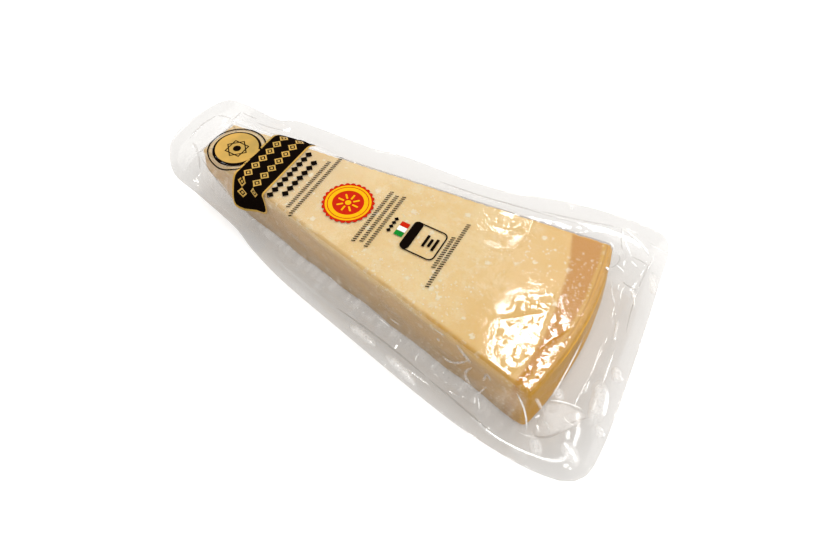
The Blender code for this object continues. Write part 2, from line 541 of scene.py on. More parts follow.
@dataclass(frozen=True)
class Ripples:
    """A seeded field of gentle waves in all directions."""

    height: float
    wavelength: float
    seed: int
    spread: float = 0.35
    count: int = 24

    def at(self, points: np.ndarray) -> np.ndarray:
        """The waves' heights.

        Args:
            points: places, x, y and z on the last axis.

        Returns:
            Heights, about three quarters of them within the field's height.
        """
        rng = np.random.default_rng(self.seed)
        heading = rng.normal(size=(self.count, 3))
        heading /= np.linalg.norm(heading, axis=1, keepdims=True)
        pace = 2 * math.pi / self.wavelength * (1 + self.spread * rng.uniform(-1, 1, self.count))
        phase = rng.uniform(0, 2 * math.pi, self.count)
        total = np.zeros(points.shape[:-1])
        for way, speed, start in zip(heading, pace, phase):
            total += np.cos(points @ way * speed + start)
        return self.height * total / math.sqrt(self.count / 2)


@dataclass(frozen=True)
class Crease:
    """A straight fold in the film, from one place to another in millimetres of the wedge's plan."""

    start: Place
    end: Place
    height: float = 0.13
    width: float = 0.8
    blunt_end: float = 0.02

    def nearness(self, sheet: NodeSheet, wedge: WedgeSizes) -> Socket:
        """How near each place is to the fold's line.

        Args:
            sheet: the node sheet.
            wedge: the wedge's sizes.

        Returns:
            Shares from 0 beside the fold to 1 on its line.
        """
        start, end = wedge.in_pack(np.array(((*self.start, 0.0), (*self.end, 0.0))) * MM)
        run = end - start
        offset = sheet.vector("SUBTRACT", sheet.level(sheet.place), tuple(start))
        share = sheet.dot(offset, tuple(run / (run @ run))).math("ADD", 0.0, clamp=True)
        beside = sheet.vector("SUBTRACT", offset, sheet.vector("MULTIPLY", share, tuple(run)))
        gap = sheet.number(sheet.vector("LENGTH", beside))
        return (gap * (-1 / (self.width * MM))).math("ADD", 1.0, clamp=True)

    def at(self, plan: np.ndarray) -> np.ndarray:
        """The fold's heights.

        Args:
            plan: places, x and y in metres on the last axis.

        Returns:
            Heights in metres.
        """
        start, end = np.array(self.start) * MM, np.array(self.end) * MM
        run = end - start
        share = np.clip(((plan - start) @ run) / (run @ run), 0, 1)
        gap = np.linalg.norm(plan - start - share[..., None] * run, axis=-1)
        fade = np.sqrt(np.sin(np.pi * np.clip(share, self.blunt_end, 1 - self.blunt_end)))
        return self.height * MM * fade * np.clip(1 - gap / (self.width * MM), 0, None)


@dataclass(frozen=True)
class Glare:
    """An oval patch of the top where the film is crinkled, in millimetres and degrees of the wedge's plan."""

    middle: Place
    half_size: tuple[float, float]
    turn: float
    strength: float
    rim: Span = (0.8, 1.15)

    def at(self, plan: np.ndarray) -> np.ndarray:
        """How crinkled the film is.

        Args:
            plan: places, x and y in metres on the last axis.

        Returns:
            Shares from 0 outside the patch to its strength inside.
        """
        angle = math.radians(self.turn)
        axes = np.array(((math.cos(angle), -math.sin(angle)), (math.sin(angle), math.cos(angle))))
        offset = (plan / MM - np.array(self.middle)) @ axes / np.array(self.half_size)
        return self.strength * (1 - smooth_between(np.linalg.norm(offset, axis=-1), *self.rim))


def smooth_between(values: np.ndarray, low: float, high: float) -> np.ndarray:
    """A smooth rise from 0 at low to 1 at high."""
    share = np.clip((values - low) / (high - low), 0, 1)
    return share * share * (3 - 2 * share)


class Socket:
    """A socket that carries a number, with arithmetic that adds Math nodes."""

    def __init__(self, sheet: NodeSheet, socket: bpy.types.NodeSocket) -> None:
        """Keeps the sheet, and the output socket that is on it."""
        self.sheet = sheet
        self.socket = socket

    def math(self, operation: str, *others: Socket | float, clamp: bool = False) -> Socket:
        """Adds a Math node with this socket first.

        Args:
            operation: the Math node's operation.
            others: its other inputs.
            clamp: whether the result stays between 0 and 1.

        Returns:
            The node's result.
        """
        inputs = dict(enumerate((self, *others)))
        node = self.sheet.add("ShaderNodeMath", {"operation": operation, "use_clamp": clamp}, inputs)
        return Socket(self.sheet, node.outputs[0])

    def __add__(self, other: Socket | float) -> Socket:
        """This plus other."""
        return self.math("ADD", other)

    __radd__ = __add__

    def __sub__(self, other: Socket | float) -> Socket:
        """This minus other."""
        return self.math("SUBTRACT", other)

    def __rsub__(self, other: Socket | float) -> Socket:
        """Other minus this."""
        return (self * -1.0) + other

    def __mul__(self, other: Socket | float) -> Socket:
        """This times other."""
        return self.math("MULTIPLY", other)

    __rmul__ = __mul__

    def __pow__(self, power: float) -> Socket:
        """This to a power."""
        return self.math("POWER", power)

    def ramp(self, low: float, high: float) -> Socket:
        """A smooth rise from 0 at low to 1 at high, or a fall where high is the lower.

        Args:
            low: where it is 0.
            high: where it is 1.

        Returns:
            The result.
        """
        node = self.sheet.add(
            "ShaderNodeMapRange",
            {"interpolation_type": "SMOOTHSTEP"},
            {"Value": self, "From Min": low, "From Max": high},
        )
        return Socket(self.sheet, node.outputs[0])


class NodeSheet:
    """A new material's node tree, and the few ways in which nodes are added to it."""

    def __init__(self, name: str) -> None:
        """Makes the material, with nothing but its output.

        Args:
            name: the material's name.
        """
        self.material = bpy.data.materials.new(name)
        self.material.use_nodes = True
        self.tree = self.material.node_tree
        self.tree.nodes.clear()
        self.output = self.tree.nodes.new("ShaderNodeOutputMaterial")
        self.place = self.add("ShaderNodeTexCoord").outputs["Object"]

    def add(
        self,
        kind: str,
        settings: Mapping[str, object] | None = None,
        inputs: Mapping[str | int, object] | None = None,
    ) -> bpy.types.Node:
        """Adds any node.

        Args:
            kind: the node's type.
            settings: its settings, which are set first.
            inputs: values or links for its sockets.

        Returns:
            The node.
        """
        node = self.tree.nodes.new(kind)
        for key, value in (settings or {}).items():
            setattr(node, key, value)
        for key, value in (inputs or {}).items():
            source = value.socket if isinstance(value, Socket) else value
            if isinstance(source, bpy.types.NodeSocket):
                self.tree.links.new(source, node.inputs[key])
            else:
                node.inputs[key].default_value = source
        return node

    def number(self, socket: bpy.types.NodeSocket) -> Socket:
        """A socket with arithmetic."""
        return Socket(self, socket)

    def attribute(self, name: str) -> Socket:
        """A number that the mesh carries at each place."""
        return self.number(self.add("ShaderNodeAttribute", {"attribute_name": name}).outputs["Fac"])

    def noise(self, scale: float, detail: float = 3.0, roughness: float = 0.5) -> Socket:
        """Noise between about 0 and 1: its waves for each metre, and how many and how strong finer waves are."""
        inputs = {"Vector": self.place, "Scale": scale, "Detail": detail, "Roughness": roughness}
        return self.number(self.add("ShaderNodeTexNoise", None, inputs).outputs["Fac"])

    def cells(self, scale: float) -> Socket:
        """Distances, in cells, from the middles of random cells, so many for each metre."""
        node = self.add("ShaderNodeTexVoronoi", None, {"Vector": self.place, "Scale": scale})
        return self.number(node.outputs["Distance"])

    def blend(self, share: Socket | float, first: object, second: object) -> bpy.types.NodeSocket:
        """A colour's socket between two colours, from the share of the second."""
        node = self.add("ShaderNodeMix", {"data_type": "RGBA"}, {0: share, 6: first, 7: second})
        return node.outputs[2]

    def vector(self, operation: str, *inputs: object) -> bpy.types.NodeSocket:
        """A Vector Math node's result, from its operation and inputs."""
        node = self.add("ShaderNodeVectorMath", {"operation": operation}, dict(enumerate(inputs)))
        return node.outputs["Value" if operation in ("LENGTH", "DOT_PRODUCT") else "Vector"]

    def level(self, vector: object) -> bpy.types.NodeSocket:
        """A vector without its height."""
        return self.vector("MULTIPLY", vector, (1.0, 1.0, 0.0))

    def dot(self, first: object, second: object) -> Socket:
        """Two vectors' dot product."""
        return self.number(self.vector("DOT_PRODUCT", first, second))

    def mirrored(self, head_on: float) -> Socket:
        """The share of light that a clear film mirrors, from its share head on."""
        facing = self.number(self.add("ShaderNodeLayerWeight", None, {"Blend": 0.5}).outputs["Facing"])
        return facing**GRAZING_POWER * (1 - head_on) + head_on

    def bump(self, height: Socket, strength: float, distance: float) -> bpy.types.NodeSocket:
        """A normal's socket from heights, how much of them shows, and how many metres a height of 1 is."""
        inputs = {"Height": height, "Strength": strength, "Distance": distance}
        return self.add("ShaderNodeBump", None, inputs).outputs["Normal"]

    def principled(self, inputs: Mapping[str | int, object]) -> bpy.types.NodeSocket:
        """A Principled shader's socket, from its inputs."""
        return self.add("ShaderNodeBsdfPrincipled", None, inputs).outputs[0]

    def clear(self, tint: Colour) -> bpy.types.NodeSocket:
        """A transparent shader's socket, from its tint."""
        return self.add("ShaderNodeBsdfTransparent", None, {"Color": tint}).outputs[0]

    def gloss(self, inputs: Mapping[str | int, object]) -> bpy.types.NodeSocket:
        """The mirror part of a clear film, from its roughness and normal."""
        return self.principled({"Base Color": WHITE, "Metallic": 1.0, **inputs})

    def mix_shader(self, share: Socket | float, first: object, second: object) -> bpy.types.NodeSocket:
        """A shader between two, from the share of the second and both sockets."""
        return self.add("ShaderNodeMixShader", None, {0: share, 1: first, 2: second}).outputs[0]

    def finish(self, shader: bpy.types.NodeSocket) -> bpy.types.Material:
        """Links the surface's shader to the output, and gives back the finished material."""
        self.tree.links.new(shader, self.output.inputs["Surface"])
        return self.material


@dataclass(frozen=True)
class Rise:
    """A smooth rise: where it starts and is full, how much it adds, and what is there before it."""

    low: float
    high: float
    gain: float = 1.0
    base: float = 0.0

    def of(self, value: Socket) -> Socket:
        """The rise's height at a value."""
        return value.ramp(self.low, self.high) * self.gain + self.base


@dataclass(frozen=True)
class Mottle:
    """Soft patches: noise waves for each metre, the rise that makes patches of them, and their finer waves."""

    scale: float
    rise: Rise
    detail: float = 4.0
    roughness: float = 0.6

    def shown(self, sheet: NodeSheet) -> Socket:
        """How much of the patches shows, on a node sheet."""
        return self.rise.of(sheet.noise(self.scale, self.detail, self.roughness))


@dataclass(frozen=True)
class Spots:
    """Irregular spots: cells for each metre, how ragged they are, the rise at their rims, and their swarms."""

    scale: float
    ragged: float
    rise: Rise
    swarms: Mottle | None = None

    def shown(self, sheet: NodeSheet, wander: Socket) -> Socket:
        """How much of the spots shows on a node sheet, made irregular by a wandering noise."""
        spots = self.rise.of(sheet.cells(self.scale) + wander * self.ragged)
        return spots * self.swarms.shown(sheet) if self.swarms else spots


@dataclass(frozen=True)
class PasteFinish:
    """Aged hard cheese: straw paste with pale crystals and fine grain, darker towards the rind, with painted shade on
    its sides, their foot and towards the tip.
    """

    paste: Colour = (0.905, 0.650, 0.295, 1.0)
    pale: Colour = (0.935, 0.715, 0.375, 1.0)
    cloud: Colour = (0.955, 0.800, 0.510, 1.0)
    warm: Colour = (0.830, 0.510, 0.130, 1.0)
    # Painted shade: the paste darkens to this towards the tip.
    shade: Colour = (0.740, 0.520, 0.250, 1.0)
    crystal: Colour = (0.970, 0.870, 0.640, 1.0)
    amber: Colour = (0.700, 0.365, 0.035, 1.0)
    band: Colour = (0.630, 0.270, 0.004, 1.0)
    seam: Colour = (0.760, 0.450, 0.060, 1.0)
    rind: Colour = (0.720, 0.355, 0.006, 1.0)
    line: Colour = (0.450, 0.205, 0.008, 1.0)
    # Painted shade: the sides are the same paste, darkened here, and darker still towards their foot as a painted
    # shadow.
    side: Colour = (0.650, 0.420, 0.215, 1.0)
    foot: Colour = (0.300, 0.200, 0.115, 1.0)
    centre: Triple = (-0.0649, -0.0036, 0.0)
    grain: Triple = (1100.0, 4.0, 0.65)
    wander: Triple = (1300.0, 4.0, 0.65)
    radius_waves: float = 90.0
    radius_waver: float = 0.0013
    pits: float = 380.0
    band_start: float = 0.1304
    band_lean: float = 0.145
    band_rim: Span = (-0.0007, 0.0009)
    band_waver: float = 0.0012
    band_share: float = 0.94
    band_grain: float = 0.1
    rind_start: float = 0.1386
    rind_rim: Span = (-0.0005, 0.0005)
    rind_share: float = 0.3
    rind_flat_share: float = 0.6
    seam_rim: Span = (-0.0016, -0.0004)
    seam_share: float = 0.7
    line_pitch: float = 0.0012
    line_share: float = 0.5
    side_shade_share: float = 0.8
    side_crystals: float = 0.6
    crystal_share: float = 0.85
    band_crystals: float = 0.4
    mottle: Mottle = Mottle(130.0, Rise(0.36, 0.66), 5.0)
    clouds: Mottle = Mottle(230.0, Rise(0.52, 0.70, 0.55))
    blotches: Spots = Spots(75.0, 0.5, Rise(0.25, 0.13, 0.55), Mottle(38.0, Rise(0.40, 0.52), 2.0, 0.5))
    warm_grain: Rise = Rise(0.50, 0.72, 0.22)
    painted_tip_shade: Rise = Rise(0.055, 0.025, 0.6)
    near_rind: Rise = Rise(0.097, 0.124, 0.8)
    amber_spots: Spots = Spots(42.0, 0.05, Rise(0.075, 0.045, 0.5))
    painted_foot_shadow: Rise = Rise(0.011, 0.002, 0.75)
    large: Spots = Spots(140.0, 0.45, Rise(0.18, 0.10, 0.95))
    small: Spots = Spots(330.0, 0.80, Rise(0.23, 0.13, 0.9), Mottle(60.0, Rise(0.44, 0.58), 2.0, 0.5))
    tiny: Spots = Spots(700.0, 0.60, Rise(0.26, 0.15), Mottle(45.0, Rise(0.46, 0.62), 2.0, 0.5))
    flecks: Spots = Spots(620.0, 0.35, Rise(0.46, 0.34, 0.4), Mottle(70.0, Rise(0.42, 0.56), 2.0, 0.5))
    # A broken amber line along the top's rounded edge: partly the crumbly edge's own colour, partly painted shade on
    # the rounding.
    rim_breaks: Mottle = Mottle(160.0, Rise(0.35, 0.60, 0.65, 0.35))
    rim_amber_and_shade: Rise = Rise(0.05, 0.12, 0.5, 0.4)
    relief: Triple = (0.4, 0.3, 0.4)
    bump: tuple[float, float] = (0.6, 0.0004)
    roughness: float = 0.40
    specular: float = 0.12
    subsurface: float = 0.12
    subsurface_radius: Triple = (1.0, 0.6, 0.25)
    subsurface_scale: float = 0.002

    def radius(self, sheet: NodeSheet) -> Socket:
        """The distance from the wheel's middle, a little uneven.

        Args:
            sheet: the node sheet.

        Returns:
            The distance in metres.
        """
        flat = sheet.level(sheet.vector("SUBTRACT", sheet.place, self.centre))
        waver = (sheet.noise(self.radius_waves) - 0.5) * self.radius_waver
        return sheet.number(sheet.vector("LENGTH", flat)) + waver

    def crystals(self, sheet: NodeSheet) -> Socket:
        """Pale crystals in three sizes, the small ones in swarms.

        Args:
            sheet: the node sheet.

        Returns:
            How much crystal shows.
        """
        wander = sheet.noise(*self.wander) - 0.5
        large, small, tiny = (spots.shown(sheet, wander) for spots in (self.large, self.small, self.tiny))
        return large.math("MAXIMUM", small).math("MAXIMUM", tiny)

    def material(self) -> bpy.types.Material:
        """Builds the node tree.

        Returns:
            The material.
        """
        sheet = NodeSheet("cheese_paste")
        grain = sheet.noise(*self.grain)
        crystals = self.crystals(sheet)
        radius = self.radius(sheet)
        ragged = radius + sheet.dot(sheet.place, (0.0, self.band_lean, 0.0)) + (grain - 0.5) * self.band_waver
        in_band = ragged.ramp(*(self.band_start + offset for offset in self.band_rim))
        in_rind = radius.ramp(*(self.rind_start + offset for offset in self.rind_rim))
        in_seam = in_band * radius.ramp(*(self.rind_start + offset for offset in self.seam_rim))
        above = sheet.dot(sheet.place, (0.0, 0.0, 1.0))
        on_side = sheet.attribute("side") * (1 - sheet.attribute("end"))
        flat = 1 - on_side
        stripes = (((radius + above) * (2 * math.pi / self.line_pitch)).math("SINE") * 0.5 + 0.5) ** 2.0 * flat
        # The flanks get painted shade, deepening to a painted shadow towards the foot.
        shaded_flank = sheet.blend(self.painted_foot_shadow.of(above), self.side, self.foot)
        crystal_share = (in_band * -self.band_crystals + self.crystal_share) * (1 - on_side * self.side_crystals)
        rim = sheet.attribute("rim") * self.rim_breaks.shown(sheet)
        colour = sheet.blend(self.mottle.shown(sheet), self.paste, self.pale)
        for share, over in (
            (self.clouds.shown(sheet), self.cloud),
            (self.blotches.shown(sheet, grain - 0.5), self.cloud),
            (self.warm_grain.of(grain), self.warm),
            # Painted shade towards the tip.
            (self.painted_tip_shade.of(radius), self.shade),
            (self.near_rind.of(radius), self.warm),
            (self.amber_spots.shown(sheet, grain), self.amber),
            (in_band * (grain * self.band_grain + self.band_share), self.band),
            (in_seam * self.seam_share, self.seam),
            (on_side * self.side_shade_share, shaded_flank),
            (crystals * crystal_share, self.crystal),
            (self.flecks.shown(sheet, grain) * in_band, self.crystal),
            (in_rind * (flat * self.rind_flat_share + self.rind_share), self.rind),
            (in_rind * stripes * self.line_share, self.line),
            # The rim's amber line, partly painted shade.
            (rim * self.rim_amber_and_shade.of(radius), self.amber),
        ):
            colour = sheet.blend(share, colour, over)
        of_grain, of_crystals, of_stripes = self.relief
        height = grain * of_grain + sheet.noise(self.pits) + crystals * of_crystals + stripes * in_rind * of_stripes
        return sheet.finish(
            sheet.principled({
                "Base Color": colour,
                "Roughness": self.roughness,
                "Specular IOR Level": self.specular,
                "Subsurface Weight": self.subsurface,
                "Subsurface Radius": self.subsurface_radius,
                "Subsurface Scale": self.subsurface_scale,
                "Normal": sheet.bump(height, *self.bump),
            })
        )


@dataclass(frozen=True)
class FilmFinish:
    """Clear tight film: its gloss grows towards grazing sight, over a trace of milkiness whose warm tint is painted
    light bounced off the cheese.

    Where it is crinkled, its gloss breaks into small flat facets between straight folds.
    """

    wedge: WedgeSizes
    creases: tuple[Crease, ...]
    head_on: float = 0.045
    # The tint and the milky colour below are a little warm: painted light bounced off the cheese, over the film's own
    # greyness.
    tint: Colour = (0.796, 0.788, 0.777, 1.0)
    haze_and_bounce: Colour = (0.86, 0.82, 0.78, 1.0)
    haze_share: float = 0.013
    roughness: float = 0.08
    facet_tilt: float = 0.10
    facet_turn: float = 0.9
    wander_waves: float = 260.0
    facet_wander: Triple = (0.0022, 0.0022, 0.0)
    coarse: tuple[float, Triple] = (330.0, (1.0, 0.35, 1.0))
    coarse_share: float = 0.7
    fine: tuple[float, Triple] = (1000.0, (1.0, 0.5, 1.0))
    fine_share: float = 0.8
    grain: Triple = (420.0, 3.0, 0.55)
    fold_height: float = 0.00018
    grain_height: float = 0.00004
    calming: float = 0.65
    beside_folds: Rise = Rise(0.0, 0.4)
    in_crinkles: Rise = Rise(0.0, 0.3)
    dull_patches: Mottle = Mottle(450.0, Rise(0.45, 0.65, 0.10, -0.045), 2.0, 0.5)
    veil_patches: Mottle = Mottle(300.0, Rise(0.35, 0.75, 0.16))

    def facets(self, sheet: NodeSheet, scale: float, stretch: Triple) -> Socket:
        """The heights of small flat facets that lean in random directions.

        Args:
            sheet: the node sheet.
            scale: facets for each metre.
            stretch: how much finer they are along each axis.

        Returns:
            Heights in metres for a lean of 1.
        """
        middle = (0.5, 0.5, 0.5)
        noise = sheet.add("ShaderNodeTexNoise", None, {"Vector": sheet.place, "Scale": self.wander_waves})
        wander = sheet.vector("SUBTRACT", noise.outputs["Color"], middle)
        shift = sheet.vector("MULTIPLY", wander, self.facet_wander)
        turn = {"Vector": sheet.place, "Rotation": (0.0, 0.0, self.facet_turn)}
        turned = sheet.add("ShaderNodeMapping", None, turn).outputs[0]
        place = sheet.vector("MULTIPLY", sheet.vector("ADD", turned, shift), stretch)
        cells = sheet.add("ShaderNodeTexVoronoi", None, {"Vector": place, "Scale": scale})
        lean = sheet.vector("SUBTRACT", cells.outputs["Color"], middle)
        return sheet.dot(sheet.vector("SUBTRACT", place, cells.outputs["Position"]), lean)

    def material(self) -> bpy.types.Material:
        """Builds the node tree.

        Returns:
            The material.
        """
        sheet = NodeSheet("clear_film")
        share = sheet.mirrored(self.head_on) * (1 - sheet.attribute("calm") * self.calming)
        crinkled = sheet.attribute("crinkled")
        folded = self.creases[0].nearness(sheet, self.wedge)
        for crease in self.creases[1:]:
            folded = folded.math("MAXIMUM", crease.nearness(sheet, self.wedge))
        coarse = self.facets(sheet, *self.coarse) * self.coarse_share
        fine = self.facets(sheet, *self.fine) * self.fine_share
        height = (coarse + fine) * (crinkled * (1 - self.beside_folds.of(folded)) * self.facet_tilt)
        height = height + folded * self.in_crinkles.of(crinkled) * self.fold_height
        height = height + sheet.noise(*self.grain) * self.grain_height
        gloss = sheet.gloss({
            "Roughness": crinkled * self.dull_patches.shown(sheet) + self.roughness,
            "Normal": sheet.bump(height, 1.0, 1.0),
        })
        # Milky film, tinted warm with painted bounce light from the cheese.
        cloud = sheet.principled({"Base Color": self.haze_and_bounce, "Roughness": 0.5})
        film = sheet.mix_shader(share, sheet.clear(self.tint), gloss)
        veil = sheet.attribute("veil") * self.veil_patches.shown(sheet)
        return sheet.finish(sheet.mix_shader(veil + self.haze_share, film, cloud))


@dataclass(frozen=True)
class InkFinish:
    """Printing ink under the film's gloss, laid on a little unevenly."""

    name: str
    colour: Colour
    shade: Colour
    metallic: float = 0.0
    roughness: float = 0.25
    specular: float = 0.03
    mottle: float = 700.0
    cover: Rise = Rise(0.40, 0.75)
    cover_detail: float = 3.0
    wrinkles: Triple = (420.0, 3.0, 0.55)
    bump: tuple[float, float] = (0.35, 0.00012)

    def material(self) -> bpy.types.Material:
        """Builds the node tree.

        Returns:
            The material.
        """
        sheet = NodeSheet(self.name)
        cover = Mottle(self.mottle, self.cover, self.cover_detail).shown(sheet)
        colour = sheet.blend(cover, self.colour, self.shade)
        return sheet.finish(
            sheet.principled({
                "Base Color": colour,
                "Metallic": self.metallic,
                "Roughness": self.roughness,
                "Specular IOR Level": self.specular,
                "Normal": sheet.bump(sheet.noise(*self.wrinkles), *self.bump),
            })
        )


INKS: dict[Slot, InkFinish] = {
    Slot.BLACK: InkFinish("black_ink", (0.004, 0.0025, 0.0018, 1.0), (0.006, 0.003, 0.002, 1.0), specular=0.0),
    Slot.GOLD: InkFinish("gold_ink", (0.52, 0.30, 0.055, 1.0), (0.36, 0.23, 0.045, 1.0), 0.2, 0.35, 0.2, 90.0),
    Slot.RED: InkFinish("red_ink", (0.47, 0.014, 0.002, 1.0), (0.42, 0.012, 0.002, 1.0)),
    Slot.YELLOW: InkFinish("yellow_ink", (0.74, 0.38, 0.002, 1.0), (0.70, 0.33, 0.002, 1.0)),
    Slot.WHITE: InkFinish("white_ink", (0.80, 0.78, 0.74, 1.0), (0.72, 0.70, 0.66, 1.0)),
    Slot.GREEN: InkFinish("green_ink", (0.004, 0.20, 0.020, 1.0), (0.006, 0.15, 0.018, 1.0)),
}


@dataclass(frozen=True)
class CheeseWedge:
    """The cheese inside: a shade smaller than the film, with crumbly edges and cut faces."""

    wedge: WedgeSizes
    loop: Loop
    gap: float = 0.00022
    side_gap: float = 0.00028
    cap_rings: int = 44
    round_steps: int = 8
    side_steps: int = 20
    foot_steps: int = 4
    bare_rings: int = 2
    swell: Ripples = Ripples(0.00005, 0.012, 3)
    grain: Ripples = Ripples(0.00003, 0.0035, 4)
    crumble: Ripples = Ripples(0.00012, 0.0045, 5)
    rim_width: Span = (0.0003, 0.0014)
    side_top: Span = (0.0150, 0.0192)

    def rings(self) -> list[np.ndarray]:
        """The side's rings, from the top's edge to the foot.

        Returns:
            Rings of offset and height.
        """
        wedge, along = self.wedge, self.loop.along
        top = wedge.height - self.gap
        radius = wedge.top_rounding
        foot = wedge.underside(along) + self.gap
        ankle = foot + wedge.foot_rounding
        rings = [
            quarter(-self.side_gap, top + 0 * along, radius, 90 * step / self.round_steps)
            for step in range(self.round_steps + 1)
        ]
        for step in range(1, self.side_steps + 1):
            height = top - radius + (ankle - top + radius) * step / self.side_steps
            rings.append(pair(wedge.side_offset(self.loop, height) - self.side_gap, height))
        heel = wedge.side_offset(self.loop, ankle) - self.side_gap
        rings += [
            quarter(heel, foot, -wedge.foot_rounding, 90 * step / self.foot_steps)
            for step in range(self.foot_steps - 1, -1, -1)
        ]
        return rings

    def build(self) -> bpy.types.Object:
        """Builds and dresses the cheese.

        Returns:
            The piece.
        """
        rings = self.rings()
        skin = Skin(self.loop, self.wedge, rings, top_rings=self.cap_rings)
        grid = skin.grid()
        edge = grid[skin.top_rings + self.round_steps // 2]
        rim = 1 - smooth_between(np.linalg.norm(grid - edge, axis=2), *self.rim_width)
        # Where the side is, which the paste paints in shade.
        side = 1 - smooth_between(grid[..., 2], *self.side_top)
        end = np.zeros(rim.shape)
        end[: skin.top_rings + len(rings) - self.bare_rings] = self.loop.rind
        depth = np.abs(self.swell.at(grid)) + np.abs(self.grain.at(grid)) + np.abs(self.crumble.at(grid)) * rim
        places = self.wedge.in_pack(grid - skin.normals(grid) * depth[..., None])
        mesh = wrapped_mesh("cheese", places, {"rim": rim, "side": side, "end": end})
        return add_piece("cheese", mesh, PasteFinish().material())


@dataclass(frozen=True)
class FilmEnvelope:
    """Both films, sealed together: tight on the wedge, out in a skirt, and flat in the wavy flange."""

    wedge: WedgeSizes
    flange: FlangeSizes
    loop: Loop
    round_steps: int = 10
    wall_steps: int = 9
    skirt_steps: int = 30
    flange_steps: int = 14
    under_steps: int = 8
    pocket_steps: int = 14
    foot_steps: int = 5
    top_cap_rings: int = 70
    under_cap_rings: int = 10
    edge_crowding: float = 0.9
    edge_bulge: float = 0.00008
    tent_lean: float = 0.35
    tent_drop: float = 0.0008
    swell: Ripples = Ripples(0.00003, 0.016, 11)
    crinkle: Ripples = Ripples(0.00004, 0.0060, 12, 0.5)
    sway: Ripples = Ripples(0.00022, 0.030, 31)
    clearance: float = 0.00004
    pleat_seed: int = 21
    pleat_waves: tuple[tuple[int, float], ...] = ((23, 0.5), (41, 0.8), (67, 0.9), (97, 0.7), (131, 0.4))
    pleat_phases: float = 6.28
    pleat_height: float = 0.00020
    pleat_sharpness: float = 1.3
    pleat_bulge: float = 1.2
    pleat_fall: float = 0.4
    rind_calm: float = 0.8
    far_calm: float = 0.5
    border_rings: int = 4
    border_width: float = 1.6
    border_calm: float = 0.9
    loosens: tuple[int, int] = (-3, 8)
    veil_lead: int = 4
    creases: tuple[Crease, ...] = (
        Crease((129.0, -16.0), (140.5, -5.5)),
        Crease((141.5, 6.5), (145.8, -19.0)),
        Crease((146.0, -19.0), (151.5, -6.5)),
        Crease((143.8, -30.5), (146.0, -19.0)),
    )
    glare: tuple[Glare, ...] = (
        Glare((143.4, -15.7), (17.5, 10.2), -68.0, 1.0),
        Glare((114.5, 20.8), (9.5, 2.6), 5.0, 1.7),
    )
    bend_rings: int = 8
    bend_passes: int = 30

    def corners(self) -> dict[str, np.ndarray]:
        """The places in the section where one stretch of the film meets the next.

        Returns:
            Rows of offset and height, by name.
        """
        wedge, flange, loop = self.wedge, self.flange, self.loop
        foot = wedge.underside(loop.along)
        body = wedge.height - foot
        root = foot + flange.root_share * body
        leave = foot + body * (flange.leave_share + (flange.tent_leave_share - flange.leave_share) * loop.tent)
        border = pair(flange.border_share * loop.reach, (root + loop.edge_height) / 2)
        start = pair(wedge.side_offset(loop, leave), leave)
        bend = pair(wedge.side_offset(loop, root) + flange.bend_reach * loop.reach, root)
        slack = (flange.tent_straightens * loop.tent)[:, None]
        bend = bend + ((start + border) / 2 - bend) * slack
        ankle = foot + wedge.foot_rounding
        heel = pair(wedge.side_offset(loop, ankle), ankle)
        hollow = pair(heel[:, 0] + flange.pocket_reach * loop.reach, (ankle + root) / 2)
        return {
            "start": start,
            "bend": bend,
            "border": border,
            "edge": pair(loop.reach, loop.edge_height),
            "heel": heel,
            "hollow": hollow,
            "foot": pair(heel[:, 0], foot),
        }

    def rings(self) -> tuple[list[np.ndarray], dict[str, int]]:
        """The side's rings, from the top's rounding out to the flange and back to the foot.

        Returns:
            Rings of offset and height, and the number of rings before the skirt, the flange and its underside.
        """
        wedge, loop, at = self.wedge, self.loop, self.corners()
        top = wedge.height + 0 * loop.along
        lift = pair(0.0, self.flange.thickness)
        marks: dict[str, int] = {}
        rings = [
            quarter(0 * loop.along, top, wedge.top_rounding, 90 * step / self.round_steps)
            for step in range(self.round_steps + 1)
        ]
        shoulder = wedge.height - wedge.top_rounding
        for step in range(1, self.wall_steps):
            share = step / self.wall_steps
            height = shoulder + (at["start"][:, 1] - shoulder) * share
            rings.append(pair(wedge.side_offset(loop, height) * min(1.0, 2 * share), height))
        marks["skirt"] = len(rings)
        rings += [
            bezier(at["start"], at["bend"], at["border"], step / self.skirt_steps) for step in range(self.skirt_steps)
        ]
        self.tent_over(rings, at["border"])
        marks["flange"] = len(rings)
        run = at["edge"] - at["border"]
        shares = np.linspace(0, 1, self.flange_steps + 1) ** self.edge_crowding
        rings += [at["border"] + run * share for share in shares]
        marks["under"] = len(rings)
        rings.append(at["edge"] + pair(self.edge_bulge, -self.flange.thickness / 2))
        for step in range(self.under_steps, -1, -1):
            rings.append(at["border"] + run * step / self.under_steps - lift)
        for step in range(1, self.pocket_steps + 1):
            rings.append(bezier(at["border"] - lift, at["hollow"], at["heel"], step / self.pocket_steps))
        rings += [
            quarter(at["heel"][:, 0], at["foot"][:, 1], -wedge.foot_rounding, 90 * step / self.foot_steps)
            for step in range(self.foot_steps - 1, -1, -1)
        ]
        return rings, marks

    def tent_over(self, rings: list[np.ndarray], border: np.ndarray) -> None:
        """Draws the film straight off the top's edges near the tip, where it tents.

        Args:
            rings: the rings from the top's rounding to the skirt's end, changed in place.
            border: the pocket's border.
        """
        share = self.loop.tip_tent[:, None]
        start = rings[0]
        lean = pair(self.tent_lean * border[:, 0], self.wedge.height - self.tent_drop)
        steps = np.linalg.norm(np.diff(np.array(rings + [border]), axis=0), axis=2)
        travel = np.cumsum(steps, axis=0) / steps.sum(axis=0)
        for index in range(1, len(rings)):
            tented = bezier(start, lean, border, travel[index - 1][:, None])
            rings[index] = rings[index] * (1 - share) + tented * share

